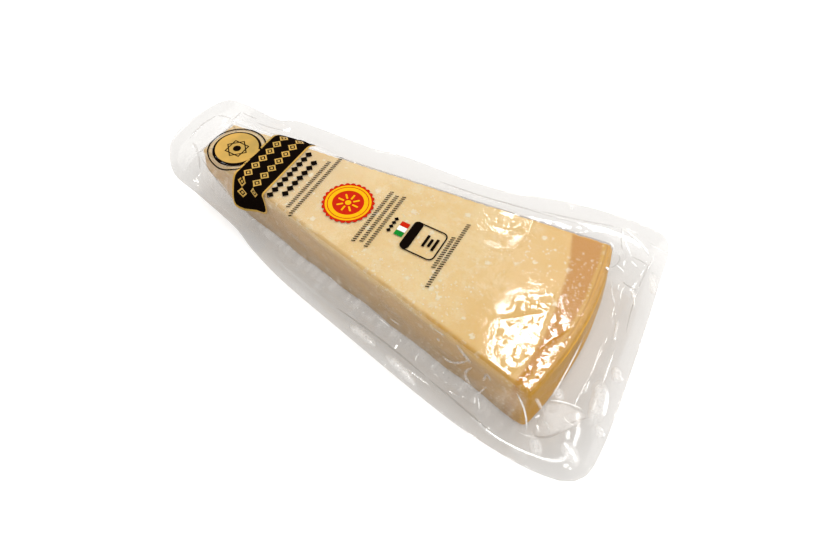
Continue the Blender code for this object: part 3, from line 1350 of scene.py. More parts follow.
    def relief(self, grid: np.ndarray) -> np.ndarray:
        """How far the tight film stands above the plain wedge: swells, crinkles and folds.

        Args:
            grid: places in the wedge's frame.

        Returns:
            Heights.
        """
        swell, crinkle = np.abs(self.swell.at(grid)), np.abs(self.crinkle.at(grid))
        folds = np.max([crease.at(grid[..., :2]) for crease in self.creases], axis=0)
        return swell + self.crinkled(grid) * crinkle + folds + self.clearance

    def crinkled(self, grid: np.ndarray) -> np.ndarray:
        """How crinkled the film is: most at the near rind corner, and a little by the far edge."""
        return np.max([patch.at(grid[..., :2]) for patch in self.glare], axis=0)

    def slack(self, grid: np.ndarray, marks: Mapping[str, int], cap: int) -> np.ndarray:
        """How far the loose film stands out: pleats in the skirt, the pocket's border and the flange's waves.

        Args:
            grid: places in the wedge's frame.
            marks: the rings where the stretches start.
            cap: the number of rings in the top's cap.

        Returns:
            Heights.
        """
        loop = self.loop
        steps = np.linalg.norm(np.roll(loop.place, -1, axis=0) - loop.place, axis=1)
        travel = np.concatenate(([0.0], np.cumsum(steps)[:-1]))
        circle = travel / steps.sum() * 2 * math.pi
        rng = np.random.default_rng(self.pleat_seed)
        pleats = np.zeros(len(circle))
        for waves, height in self.pleat_waves:
            pleats += height * np.cos(waves * circle + rng.uniform(0, self.pleat_phases))
        calm = 1 - self.rind_calm * loop.rind - self.far_calm * smooth_between(loop.outward[:, 1], *TURNED)
        pleats = self.pleat_height * np.sign(pleats) * np.abs(pleats) ** self.pleat_sharpness * calm
        total = np.zeros(grid.shape[:2])
        skirt, flange, under = (cap + marks[key] for key in ("skirt", "flange", "under"))
        for row in range(skirt, flange):
            share = (row - skirt) / (flange - skirt)
            total[row] = pleats * math.sin(math.pi * share) ** self.pleat_bulge * (1 - self.pleat_fall * share)
        ridge = self.flange.border_ridge * (1 - self.border_calm * loop.rind)
        for row in range(flange - self.border_rings, flange + self.border_rings + 1):
            total[row] += ridge * math.exp(-(((row - flange) / self.border_width) ** 2))
        sway = self.sway.at(grid)
        for row in range(flange, under):
            share = (row - flange) / (under - flange)
            total[row] += sway[row] * math.sin(math.pi / 2 * share) ** 2
        return total

    def build(self) -> BVHTree:
        """Builds and dresses the film.

        Returns:
            The film's surface in the wedge's frame, for the printing to lie on.
        """
        rings, marks = self.rings()
        skin = Skin(self.loop, self.wedge, rings, top_rings=self.top_cap_rings, under_rings=self.under_cap_rings)
        grid = skin.grid()
        cap = skin.top_rings
        skirt, flange = cap + marks["skirt"], cap + marks["flange"]
        bend = slice(flange - self.bend_rings, flange + self.bend_rings + 1)
        for _ in range(self.bend_passes):
            grid[bend] = ((np.roll(grid, 1, axis=0) + np.roll(grid, -1, axis=0)) / 2)[bend]
        rows = np.arange(len(grid), dtype=float)
        loose_from, loose_to = (skirt + offset for offset in self.loosens)
        tight = ((1 - smooth_between(rows, loose_from, loose_to)) * (rows < flange))[:, None]
        height = self.relief(grid) * tight + self.slack(grid, marks, cap)
        calm = np.zeros(grid.shape[:2])
        calm[cap + self.border_rings : flange + self.border_rings + 1] = self.loop.rind
        veil = np.zeros(grid.shape[:2])
        start = skirt - self.veil_lead
        for row in range(start, flange):
            veil[row] = math.sin(math.pi * (row - start) / (flange - start)) * (1 - self.rind_calm * self.loop.rind)
        places = self.wedge.in_pack(grid + skin.normals(grid) * height[..., None])
        values = {"veil": veil, "crinkled": self.crinkled(grid) * tight, "calm": calm}
        mesh = wrapped_mesh("film", places, values)
        add_piece("film", mesh, FilmFinish(self.wedge, self.creases).material())
        bm = bmesh.new()
        bm.from_mesh(mesh)
        bmesh.ops.translate(bm, verts=bm.verts, vec=self.wedge.pack_origin)
        surface = BVHTree.FromBMesh(bm)
        bm.free()
        return surface


class Mark(Enum):
    """The kinds of fold: a white crest that is partly a painted glint, a faint one, a darker one with painted shade,
    and a hazy web between two folds.
    """

    CREST = "film_crests"
    FAINT = "film_faint_folds"
    # Folds whose darker tint is painted shade along them.
    SHADED = "film_clear_folds"
    WEB = "film_webs"


@dataclass(frozen=True)
class FoldFinish:
    """A fold of the clear film: glossy on its slopes, and white on its crest, partly whitened by stretching and partly
    a painted glint.
    """

    mark: Mark
    stretch_white_and_glint: float
    tint: Colour
    ridge: float
    white: Colour = (0.97, 0.955, 0.93, 1.0)
    white_roughness: float = 0.3
    gloss_roughness: float = 0.12
    head_on: float = 0.05
    breaks: Mottle = Mottle(1400.0, Rise(0.28, 0.56, 0.6, 0.4), 2.0, 0.5)
    rim: Rise = Rise(0.0, 0.3)

    def material(self) -> bpy.types.Material:
        """Builds the node tree.

        Returns:
            The material.
        """
        sheet = NodeSheet(self.mark.value)
        gloss = sheet.gloss({"Roughness": self.gloss_roughness})
        white = sheet.principled({"Base Color": self.white, "Roughness": self.white_roughness})
        film = sheet.mix_shader(sheet.mirrored(self.head_on), sheet.clear(self.tint), gloss)
        fade = sheet.attribute("fade")
        # White on the crest: partly film whitened by stretching, partly a painted glint.
        film = sheet.mix_shader(fade * self.breaks.shown(sheet) * self.stretch_white_and_glint, film, white)
        return sheet.finish(sheet.mix_shader(self.rim.of(fade), sheet.clear(WHITE), film))


FOLD_FINISHES: dict[Mark, FoldFinish] = {
    # The white shares of crests and faint folds are partly painted glints.
    Mark.CREST: FoldFinish(Mark.CREST, 0.95, (0.96, 0.955, 0.95, 1.0), 0.30),
    Mark.FAINT: FoldFinish(Mark.FAINT, 0.34, (0.97, 0.965, 0.96, 1.0), 0.12),
    # Painted shade: a darker tint along these folds.
    Mark.SHADED: FoldFinish(Mark.SHADED, 0.0, (0.80, 0.785, 0.77, 1.0), 0.30),
    Mark.WEB: FoldFinish(Mark.WEB, 0.22, (0.90, 0.875, 0.85, 1.0), 0.05),
}


def through(start: Place, middle: Place, end: Place, share: float) -> np.ndarray:
    """A point of the curve that passes through start, middle and end, by its share of the way."""
    first, half, last = np.array(start), np.array(middle), np.array(end)
    return bezier(first, 2 * half - (first + last) / 2, last, share)


@dataclass(frozen=True)
class Fold:
    """A fold over the film: its kind, its width, and where it starts, bends and ends, in millimetres.

    The places are those that the camera sees on a level plane.
    """

    mark: Mark
    width: float
    start: Place
    middle: Place
    end: Place
    tangent: float = 0.01
    end_width: float = 0.3
    reach: float = 0.65
    steepness: float = 4.0
    roundness: float = 0.7

    @property
    def length(self) -> float:
        """Its rough length."""
        return math.dist(self.start, self.middle) + math.dist(self.middle, self.end)

    def strength(self, share: float, side: float) -> float:
        """How strong it is at a place: it fades towards its ends and sides."""
        return (1 - side * side) * min(1.0, self.steepness * min(share, 1 - share)) ** self.roundness

    def place(self, share: float, side: float) -> np.ndarray:
        """A place of the fold.

        Args:
            share: the share of its length.
            side: how far to the side, from -1 to 1.

        Returns:
            The place on the level plane.
        """
        before, here, after = (
            through(self.start, self.middle, self.end, share + offset) for offset in (-self.tangent, 0.0, self.tangent)
        )
        step = after - before
        sideways = np.array((-step[1], step[0])) / math.hypot(*step)
        narrowed = self.end_width + (1 - self.end_width) * self.strength(share, 0.0)
        return here + sideways * side * self.width * self.reach * narrowed


@dataclass(frozen=True)
class Web:
    """A hazy web of film between two folds, each given by its start, middle and end."""

    first: tuple[Place, Place, Place]
    second: tuple[Place, Place, Place]
    mark: Mark = Mark.WEB
    width: float = 8.0
    side_steepness: float = 6.0
    end_steepness: float = 8.0

    @property
    def length(self) -> float:
        """Its rough length."""
        return math.dist(*self.first[:2]) + math.dist(*self.first[1:])

    def strength(self, share: float, side: float) -> float:
        """How strong it is at a place: even, but for its very rim."""
        return min(1.0, self.side_steepness * (1 - abs(side)), self.end_steepness * min(share, 1 - share))

    def place(self, share: float, side: float) -> np.ndarray:
        """A place of the web, from its share of the length and how far to the side it is."""
        return (through(*self.first, share) * (1 - side) + through(*self.second, share) * (1 + side)) / 2


@dataclass
class FilmFolds:
    """Raises folds on the film, where the camera sees them."""

    wedge: WedgeSizes
    surface: BVHTree
    eye: Vector
    across_steps: int = 6
    across_coarseness: float = 1.5
    step: float = 0.45
    lift: float = 0.00004
    longest_edge: float = 0.003
    sheets: dict[Mark, bmesh.types.BMesh] = field(default_factory=dict)

    def sheet(self, mark: Mark) -> bmesh.types.BMesh:
        """The mesh that gathers one kind of fold.

        Args:
            mark: the kind.

        Returns:
            The mesh.
        """
        if mark not in self.sheets:
            self.sheets[mark] = bmesh.new()
            self.sheets[mark].verts.layers.float.new("fade")
        return self.sheets[mark]

    def seen(self, place: np.ndarray, plane: float) -> tuple[Vector, Vector] | None:
        """The film's place and direction that the camera sees at a place of a level plane.

        Args:
            place: the place in millimetres.
            plane: the plane's height in millimetres.

        Returns:
            The place and direction, or nothing where no film is there.
        """
        target = Vector((place[0] * MM, place[1] * MM, plane * MM))
        hit, normal = self.surface.ray_cast(self.eye, (target - self.eye).normalized())[:2]
        if hit is None:
            return None
        return hit, normal if normal.dot(self.eye - hit) > 0 else -normal

    def lay(self, fold: Fold | Web, plane: float) -> None:
        """Raises one fold.

        Args:
            fold: the fold.
            plane: the height of the plane that its places are on, in millimetres.
        """
        ridge = FOLD_FINISHES[fold.mark].ridge * fold.width * MM
        bm = bmesh.new()
        fade = bm.verts.layers.float.new("fade")
        steps = max(4, math.ceil(fold.length / self.step))
        across = max(self.across_steps, math.ceil(fold.width / self.step / self.across_coarseness))
        bmesh.ops.create_grid(bm, x_segments=steps, y_segments=across, size=1.0)
        missed = []
        for vert in bm.verts:
            share, side = (vert.co.x + 1) / 2, vert.co.y
            found = self.seen(fold.place(share, side), plane)
            if found is None:
                missed.append(vert)
                continue
            vert[fade] = max(0.0, fold.strength(share, side))
            vert.co = found[0] + found[1] * (self.lift + ridge * vert[fade])
        bmesh.ops.delete(bm, geom=missed, context="VERTS")
        torn = [edge for edge in bm.edges if edge.calc_length() > self.longest_edge]
        bmesh.ops.delete(bm, geom=torn, context="EDGES")
        merge(bm, self.sheet(fold.mark))

    def build(self) -> None:
        """Turns each kind's gathered folds into a piece."""
        for mark, bm in self.sheets.items():
            bmesh.ops.translate(bm, verts=bm.verts, vec=-Vector(self.wedge.pack_origin))
            for face in bm.faces:
                if face.normal.z < 0:
                    face.normal_flip()
            add_piece(mark.value, smooth_mesh(mark.value, bm), FOLD_FINISHES[mark].material())


CREST, FAINT, SHADED = Mark.CREST, Mark.FAINT, Mark.SHADED


@dataclass(frozen=True)
class FoldDesign:
    """Every fold, by the height of the plane that its places are on."""

    near_rind_corner: tuple[Fold | Web, ...] = (
        Web(((154.5, -27.5), (160, -24.2), (167, -24.2)), ((155.3, -38.3), (161.2, -35.2), (167.2, -25.6))),
        Fold(SHADED, 0.6, (155, -38.5), (160.2, -36), (163, -30)),
        Fold(SHADED, 0.5, (163, -30), (165.3, -27), (167.4, -24.6)),
        Fold(CREST, 0.5, (155.2, -25.8), (160, -23.8), (166, -23)),
        Fold(CREST, 0.5, (161, -28), (162.8, -29.2), (165.6, -29)),
        Fold(CREST, 1.3, (163.9, -31.2), (164.6, -33), (165.1, -34.6)),
        Fold(FAINT, 0.6, (155.3, -32), (158, -33.2), (159.8, -35.4)),
        Fold(FAINT, 1.2, (151.2, -27.3), (153, -28.4), (155, -30.2)),
        Fold(CREST, 0.6, (145.6, -28.8), (150.4, -32.8), (153.7, -38.3)),
        Fold(CREST, 0.7, (153.8, -33.4), (154.5, -32.2), (154.9, -31.8)),
        Fold(FAINT, 2.6, (155.8, -20.2), (156.8, -22.3), (158.8, -23.6)),
        Fold(CREST, 0.45, (155.4, 0), (155.6, -13), (155.4, -25)),
        Fold(CREST, 0.4, (161.4, 1), (162.2, -6), (162.8, -10.5)),
        Fold(FAINT, 0.8, (163, -13), (163.2, -15.5), (163.5, -18)),
        Fold(FAINT, 0.6, (165.6, 2), (166.2, -6), (167, -13)),
        Fold(CREST, 0.45, (167.2, -16.6), (167.6, -20), (167.8, -22.3)),
        Fold(FAINT, 3.0, (168.6, -3.6), (169.6, -6.5), (171.4, -9)),
        Fold(FAINT, 4.5, (165.6, -11), (168.2, -17.5), (169.4, -27)),
        Fold(FAINT, 4.0, (164, -36), (167.5, -37.5), (170, -41)),
        Fold(FAINT, 2.2, (170.8, -25), (172.2, -26.8), (173.4, -28.6)),
        Fold(FAINT, 3.0, (156, -38.6), (158, -41), (160, -43.4)),
    )
    far_rind_corner: tuple[Fold | Web, ...] = (
        Fold(CREST, 1.0, (149.5, 49.6), (157, 46.6), (162.3, 42.6)),
        Fold(CREST, 0.7, (149, 49.5), (152.8, 43.8), (157, 38.8)),
        Fold(FAINT, 0.7, (149.5, 50), (153, 50), (155.5, 49.7)),
        Fold(FAINT, 1.0, (160.3, 48.4), (163, 47.5), (167, 47.5)),
        Fold(SHADED, 0.4, (149, 49.5), (151, 44), (153, 40)),
        Fold(SHADED, 0.5, (157, 38.9), (160, 38.9), (163, 38.5)),
        Fold(CREST, 0.7, (157.3, 37.1), (158.8, 36.2), (160.3, 35.4)),
        Fold(CREST, 0.6, (155.3, 36.2), (155.6, 34.8), (156, 33)),
        Fold(FAINT, 0.5, (163, 45), (163.7, 40), (163, 35)),
        Fold(CREST, 0.6, (162.3, 34), (162.5, 33.2), (162.5, 32.3)),
        Fold(SHADED, 0.5, (152.5, 37.5), (153.8, 34), (152, 30)),
        Fold(CREST, 0.6, (153, 32.6), (155.5, 31.8), (157.2, 30.6)),
        Fold(CREST, 1.0, (151, 30), (151.6, 29.2), (152.4, 28.7)),
        Fold(CREST, 0.8, (147.5, 40.8), (149, 40.2), (150, 38.9)),
        Fold(SHADED, 0.6, (158, 27), (160.5, 26.3), (163.5, 26)),
        Fold(CREST, 0.5, (159.6, 25.5), (159.3, 22.5), (160.5, 19)),
        Fold(CREST, 0.8, (161.5, 25.2), (163, 24), (163.6, 21.8)),
        Fold(CREST, 0.5, (163.6, 24.8), (164.2, 22), (165.6, 18.2)),
        Fold(CREST, 0.5, (157.7, 26), (157.6, 24), (158.3, 23.1)),
        Fold(FAINT, 0.7, (155.2, 25), (156.8, 20.5), (159.4, 17)),
        Fold(CREST, 0.4, (159.4, 16.5), (160, 13), (160.4, 11)),
        Fold(FAINT, 1.0, (162.3, 12), (163.3, 7.5), (164.2, 3)),
        Fold(FAINT, 3.0, (165.2, 36.5), (168, 31), (169.2, 27.5)),
        Fold(SHADED, 0.4, (163.7, 44), (163.8, 27), (166.5, 8)),
    )
    far_side: tuple[Fold | Web, ...] = (
        Fold(SHADED, 0.6, (80, 34), (100, 36.4), (120, 41.2)),
        Fold(SHADED, 0.6, (120, 41.2), (135, 45.4), (148.5, 50)),
        Fold(FAINT, 0.6, (80, 33.2), (96, 35), (112, 37.8)),
        Fold(SHADED, 0.4, (105, 37.4), (120, 40.2), (135, 43.3)),
        Fold(FAINT, 2.0, (128, 50), (129.2, 49.3), (130.5, 48.5)),
    )
    near_side: tuple[Fold | Web, ...] = (
        Fold(CREST, 0.35, (93, -28.7), (97, -29.4), (100.5, -30.1)),
        Fold(CREST, 0.4, (113, -33.2), (113, -35), (113.8, -36)),
        Fold(CREST, 0.6, (135.2, -36.2), (136, -37.5), (136.4, -38.8)),
        Fold(CREST, 0.55, (136.3, -36), (137.4, -37.6), (138.8, -39.6)),
        Fold(FAINT, 0.6, (131, -39.2), (129, -39), (127, -39.2)),
        Fold(FAINT, 0.9, (140.3, -43), (140.9, -43.2), (141.5, -43.4)),
        Fold(SHADED, 0.5, (80, -33.3), (100, -35.4), (120, -39)),
        Fold(SHADED, 0.5, (120, -39), (132, -41.2), (145, -43.8)),
        Fold(FAINT, 2.4, (88, -36.3), (94, -37.2), (100, -38.3)),
        Fold(FAINT, 2.8, (104, -39), (111, -40.8), (118, -43)),
        Fold(FAINT, 0.9, (121, -23.5), (125.5, -25.6), (129, -27)),
        Fold(FAINT, 0.8, (128, -26), (124, -29.8), (119.5, -29.5)),
        Fold(FAINT, 1.0, (130, -28), (129.2, -31.5), (133.5, -34)),
        Fold(FAINT, 0.6, (129.5, -34), (132, -34.2), (134, -34.6)),
        Fold(FAINT, 0.6, (134.5, -27.5), (135.8, -28.2), (137, -29)),
        Fold(FAINT, 0.9, (134.5, -27.8), (134.8, -29), (135, -30.5)),
        Fold(FAINT, 0.6, (136.8, -31.5), (136.3, -33.5), (135.5, -35.8)),
        Fold(FAINT, 0.5, (112, -22.5), (114.5, -22.8), (117, -23)),
        Fold(FAINT, 0.6, (114.8, -25), (115.6, -25.3), (116.4, -25.6)),
        Fold(FAINT, 0.5, (97.5, -27), (99.8, -27.3), (102, -27.5)),
    )
    tip: tuple[Fold | Web, ...] = (
        Fold(SHADED, 0.6, (-12.8, 12.2), (-10, 13.3), (-6.5, 13.6)),
        Fold(SHADED, 0.7, (-13.2, 12), (-14, 4), (-12.6, -4)),
        Fold(SHADED, 0.6, (-10, -5.2), (-6.5, -6.5), (-3.2, -9.2)),
        Fold(SHADED, 0.5, (-3, -9), (0, -11.5), (2.5, -14.2)),
        Fold(SHADED, 0.6, (-5.8, 13), (-6, 16), (-6.2, 19)),
        Fold(SHADED, 0.5, (-5.5, 19.2), (-2, 19), (2, 19.4)),
        Fold(CREST, 0.9, (-5.5, 13.5), (-5, 13.4), (-4.5, 13.2)),
        Fold(FAINT, 1.5, (-9.5, 12.5), (-8.2, 11.5), (-7, 10.5)),
        Fold(CREST, 0.6, (-8.5, -6.6), (-8, -6.8), (-7.4, -7)),
        Fold(SHADED, 0.4, (-2, -9), (9, -13.7), (20, -17.8)),
        Fold(FAINT, 0.5, (11, -14), (17, -16.4), (25, -19.6)),
        Fold(SHADED, 0.4, (3, 17.5), (9, 18.2), (16, 20)),
    )
    foot_start: Place = (81.0, -28.0)
    foot_end: Place = (134.0, -36.3)
    foot_seed: int = 61
    foot_scatter: Span = (-0.5, 0.3)
    foot_along: Span = (-0.2, 0.9)
    foot_across: Span = (-1.0, -0.3)
    foot_length: Span = (0.6, 1.6)
    foot_bend: Span = (-0.15, 0.15)
    foot_crests: float = 0.6
    foot_width: Span = (0.3, 0.5)
    foot_step: Span = (0.025, 0.075)
    # The height of the plane that each group's places are on, in millimetres.
    planes: tuple[float, ...] = (9.0, 10.5, 10.0, 8.0, 8.0, 15.0)

    def along_foot(self) -> list[Fold]:
        """Short white folds where the skirt leaves the near side, at uneven steps.

        Returns:
            The folds.
        """
        rng = np.random.default_rng(self.foot_seed)
        start, end = np.array(self.foot_start), np.array(self.foot_end)
        folds, share = [], 0.0
        while share < 1:
            place = start + (end - start) * share + (0, rng.uniform(*self.foot_scatter))
            run = np.array((rng.uniform(*self.foot_along), rng.uniform(*self.foot_across)))
            run *= rng.uniform(*self.foot_length)
            bend = place + run / 2 + rng.uniform(*self.foot_bend, 2)
            mark = CREST if rng.random() < self.foot_crests else FAINT
            folds.append(Fold(mark, rng.uniform(*self.foot_width), tuple(place), tuple(bend), tuple(place + run)))
            share += rng.uniform(*self.foot_step)
        return folds

    def raise_on(self, film: FilmFolds) -> None:
        """Raises every fold.

        Args:
            film: the film's folds.
        """
        groups = (
            self.near_rind_corner, self.far_rind_corner, self.far_side, self.near_side, self.along_foot(), self.tip
        )
        for plane, folds in zip(self.planes, groups):
            for fold in folds:
                film.lay(fold, plane)
        film.build()


@dataclass
class PrintedFilm:
    """Lays flat shapes of ink on the film, over the top's edges and down the sides."""

    wedge: WedgeSizes
    loop: Loop
    rings: list[np.ndarray]
    surface: BVHTree
    tilt: float = 0.044
    thickness: float = 0.00003
    layer_lift: float = 0.00005
    ray_start: float = 0.002
    slope_step: float = 0.0004
    same_way: float = 0.99999
    sharp_degrees: float = 50.0
    sheets: dict[Slot, bmesh.types.BMesh] = field(default_factory=dict)

    def sheet(self, ink: Slot) -> bmesh.types.BMesh:
        """The mesh that gathers an ink's shapes."""
        return self.sheets.setdefault(ink, bmesh.new())

    def base(self, along: float, across: float) -> tuple[Vector, Vector]:
        """The place and direction on the plain film of a place in the unrolled print.

        Args:
            along: distance from the tip.
            across: distance from the axis, measured over the edge and down the side.

        Returns:
            The place and the outward direction, in the wedge's frame.
        """
        wedge = self.wedge
        hand = 1.0 if across > 0 else -1.0
        slant = wedge.slant
        outward = Vector((-math.sin(slant), hand * math.cos(slant)))
        corner = Vector((0.0, hand * wedge.tip_width / 2))
        beyond = (Vector((along, across)) - corner).dot(outward)
        over = beyond + wedge.top_rounding
        if over <= 0:
            return Vector((along, across, wedge.height)), Vector((0.0, 0.0, 1.0))
        foot = Vector((along, across)) - outward * beyond
        matches = np.where(self.loop.outward @ np.array(outward) > self.same_way)[0]
        nearest = matches[int(np.argmin(np.abs(self.loop.place[matches, 0] - foot.x)))]
        section = np.array([ring[nearest] for ring in self.rings])
        lengths = np.concatenate(([0.0], np.cumsum(np.linalg.norm(np.diff(section, axis=0), axis=1))))
        upper, (offset, height), lower = (
            np.array([np.interp(travel, lengths, section[:, axis]) for axis in (0, 1)])
            for travel in (max(over - self.slope_step, 0.0), over, over + self.slope_step)
        )
        slope = lower - upper
        turn = Vector((-slope[1], slope[0])).normalized()
        flat = foot + outward * offset
        return Vector((flat.x, flat.y, height)), Vector((outward.x * turn.x, outward.y * turn.x, turn.y))

    def lay(self, shape: bmesh.types.BMesh, ink: Slot, at: Place, layer: int = 0, turn: float = 0.0) -> None:
        """Lays a flat shape on the film and adds it to its ink.

        Args:
            shape: the flat shape round its own origin, in millimetres. It is used up.
            ink: its ink.
            at: where its origin goes, in millimetres of the wedge's unrolled plan.
            layer: how many inks lie under it.
            turn: an extra turn, anticlockwise.
        """
        bmesh.ops.rotate(shape, verts=shape.verts, cent=(0, 0, 0), matrix=Matrix.Rotation(self.tilt + turn, 3, "Z"))
        bmesh.ops.scale(shape, verts=shape.verts, vec=(MM, MM, MM))
        bmesh.ops.translate(shape, verts=shape.verts, vec=(at[0] * MM, at[1] * MM, 0.0))
        lift = self.layer_lift * (1 + layer)
        for vert in shape.verts:
            place, normal = self.base(vert.co.x, vert.co.y)
            hit = self.surface.ray_cast(place + normal * self.ray_start, -normal)[0]
            vert.co = (hit or place) + normal * lift
        bmesh.ops.recalc_face_normals(shape, faces=shape.faces)
        if shape.faces and sum(face.normal.z for face in shape.faces) < 0:
            bmesh.ops.reverse_faces(shape, faces=shape.faces)
        bmesh.ops.solidify(shape, geom=shape.faces, thickness=self.thickness)
        merge(shape, self.sheet(ink))

    def build(self) -> None:
        """Turns each ink's gathered shapes into a piece."""
        for ink, bm in self.sheets.items():
            bmesh.ops.translate(bm, verts=bm.verts, vec=-Vector(self.wedge.pack_origin))
            bmesh.ops.recalc_face_normals(bm, faces=bm.faces)
            mesh = smooth_mesh(ink.value, bm)
            mesh.set_sharp_from_angle(angle=math.radians(self.sharp_degrees))
            add_piece(ink.value.replace("_ink", "_print"), mesh, INKS[ink].material())


def cut_up(bm: bmesh.types.BMesh, step: float) -> None:
    """Cuts flat faces into a lattice, so that they can bend.

    Args:
        bm: the flat shape.
        step: the lattice's step.
    """
    for axis in (0, 1):
        places = [vert.co[axis] for vert in bm.verts]
        normal = Vector((1.0, 0.0, 0.0)) if axis == 0 else Vector((0.0, 1.0, 0.0))
        for index in range(math.ceil(min(places) / step), math.floor(max(places) / step) + 1):
            geom = bm.verts[:] + bm.edges[:] + bm.faces[:]
            bmesh.ops.bisect_plane(bm, geom=geom, dist=ON_PLANE, plane_co=normal * (index * step), plane_no=normal)


def bar(along: float, across: float, radius: float = 0.0, step: float = 1.0) -> bmesh.types.BMesh:
    """A flat bar with rounded corners.

    Args:
        along: its size along the wedge.
        across: its size across it.
        radius: the corners' radius.
        step: the lattice's step.

    Returns:
        The shape.
    """
    bm = bmesh.new()
    bmesh.ops.create_grid(bm, x_segments=1, y_segments=1, size=0.5)
    bmesh.ops.scale(bm, verts=bm.verts, vec=(along, across, 1.0))
    if radius > 0:
        bmesh.ops.bevel(
            bm, geom=bm.verts, offset=radius, affect="VERTICES", segments=4, profile=0.5, material=-1
        )
    cut_up(bm, step)
    return bm


def disc(radius: float, segments: int = 48, step: float = 1.0) -> bmesh.types.BMesh:
    """A flat disc.

    Args:
        radius: its radius.
        segments: its number of sides.
        step: the lattice's step.

    Returns:
        The shape.
    """
    bm = bmesh.new()
    bmesh.ops.create_circle(bm, cap_ends=True, segments=segments, radius=radius)
    cut_up(bm, step)
    return bm


def ring(inner: float, outer: float, segments: int = 64, step: float = 1.0) -> bmesh.types.BMesh:
    """A flat ring.

    Args:
        inner: its inner radius.
        outer: its outer radius.
        segments: its number of sides.
        step: the lattice's step.

    Returns:
        The shape.
    """
    bm = bmesh.new()
    bmesh.ops.create_circle(bm, segments=segments, radius=inner)
    bmesh.ops.create_circle(bm, segments=segments, radius=outer)
    bmesh.ops.bridge_loops(bm, edges=bm.edges)
    cut_up(bm, step)
    return bm


def scalloped_disc(radius: float, depth: float, scallops: int, step: float = 1.0) -> bmesh.types.BMesh:
    """A flat disc with a scalloped rim.

    Args:
        radius: its outer radius.
        depth: how deep the rim is cut in.
        scallops: their number.
        step: the lattice's step.

    Returns:
        The shape.
    """
    bm = bmesh.new()
    bmesh.ops.create_circle(bm, cap_ends=True, segments=scallops * SCALLOP_SIDES, radius=radius)
    for vert in bm.verts:
        angle = math.atan2(vert.co.y, vert.co.x)
        vert.co *= 1 - depth / radius * (1 - abs(math.cos(angle * scallops / 2)))
    cut_up(bm, step)
    return bm


def frame(along: float, across: float, radius: float, stroke: float) -> bmesh.types.BMesh:
    """A flat frame with rounded corners.

    Args:
        along: its size along the wedge.
        across: its size across it.
        radius: the outer corners' radius.
        stroke: how wide its line is.

    Returns:
        The shape.
    """
    bm = bar(along, across, radius, max(along, across) * 2)
    inset = bmesh.ops.inset_region(bm, faces=bm.faces[:], thickness=stroke, use_boundary=True, use_even_offset=True)
    line = set(inset["faces"])
    bmesh.ops.delete(bm, geom=[face for face in bm.faces if face not in line], context="FACES")
    cut_up(bm, 1.0)
    return bm


@dataclass(frozen=True)
class Badge:
    """The round gold badge near the tip: a ring, a dark rim and an eight-pointed star."""

    at: Place = (11.6, -1.6)
    radius: float = 11.2
    rim: float = 0.55
    ground: float = 9.2
    face: float = 8.2
    face_shift: float = 0.3
    star: float = 6.6
    star_line: float = 0.4
    dot: float = 1.5

    def print_on(self, film: PrintedFilm) -> None:
        """Prints the badge.

        Args:
            film: the printed film.
        """
        film.lay(ring(self.radius - self.rim, self.radius), Slot.BLACK, self.at)
        film.lay(disc(self.ground), Slot.BLACK, self.at)
        along, across = self.at
        film.lay(disc(self.face), Slot.GOLD, (along - self.face_shift, across + self.face_shift), 1)
        for turn in (0.0, math.pi / 4):
            film.lay(frame(self.star, self.star, 0.0, self.star_line), Slot.BLACK, self.at, 2, turn)
        film.lay(disc(self.dot, 24), Slot.BLACK, self.at, 2)


@dataclass(frozen=True)
class Band:
    """The black band across the wedge, trimmed with gold, with two rows of gold lozenges in it."""

    along: float = 26.8
    near: float = -24.8
    far: float = 22.5
    width: float = 14.4
    trim: float = 0.8
    rounding: float = 4.0
    rows: tuple[tuple[float, float, int], ...] = ((-3.6, 12.6, 8), (2.5, 14.6, 8))
    lozenge: float = 2.9
    lozenge_line: float = 0.55
    core: float = 0.9
    pitch: float = 4.3
    lattice: float = 0.5

    def print_on(self, film: PrintedFilm) -> None:
        """Prints the band.

        Args:
            film: the printed film.
        """
        length = self.far - self.near
        middle = (self.along, (self.far + self.near) / 2)
        film.lay(bar(self.width + 2 * self.trim, length, self.rounding + self.trim, self.lattice), Slot.GOLD, middle)
        film.lay(bar(self.width, length - 2 * self.trim, self.rounding, self.lattice), Slot.BLACK, middle, 1)
        for row, far, count in self.rows:
            for index in range(count):
                across = far - self.pitch * index
                place = (self.along + row - film.tilt * across, across)
                film.lay(frame(self.lozenge, self.lozenge, 0.0, self.lozenge_line), Slot.GOLD, place, 2, math.pi / 4)
                film.lay(bar(self.core, self.core), Slot.GOLD, place, 2, math.pi / 4)


class Motif(Enum):
    """The small bar that a row repeats: its size along and across the wedge, its pitch and its turn in degrees."""

    LOZENGE = (2.15, 2.15, 2.95, 45.0)
    SMALL_LOZENGE = (1.3, 1.3, 1.85, 45.0)
    STITCH = (1.45, 0.38, 1.02, 20.0)


@dataclass(frozen=True)
class MotifRow:
    """An even row of one motif across the wedge."""

    along: float
    far: float
    near: float
    motif: Motif

    def print_on(self, film: PrintedFilm) -> None:
        """Prints the row.

        Args:
            film: the printed film.
        """
        size, width, pitch, turn = self.motif.value
        middle = (self.far + self.near) / 2
        count = round((self.far - self.near) / pitch)
        for index in range(count):
            across = self.far - pitch * (index + 0.5)
            place = (self.along - film.tilt * (across - middle), across)
            film.lay(bar(size, width), Slot.BLACK, place, 0, math.radians(turn))


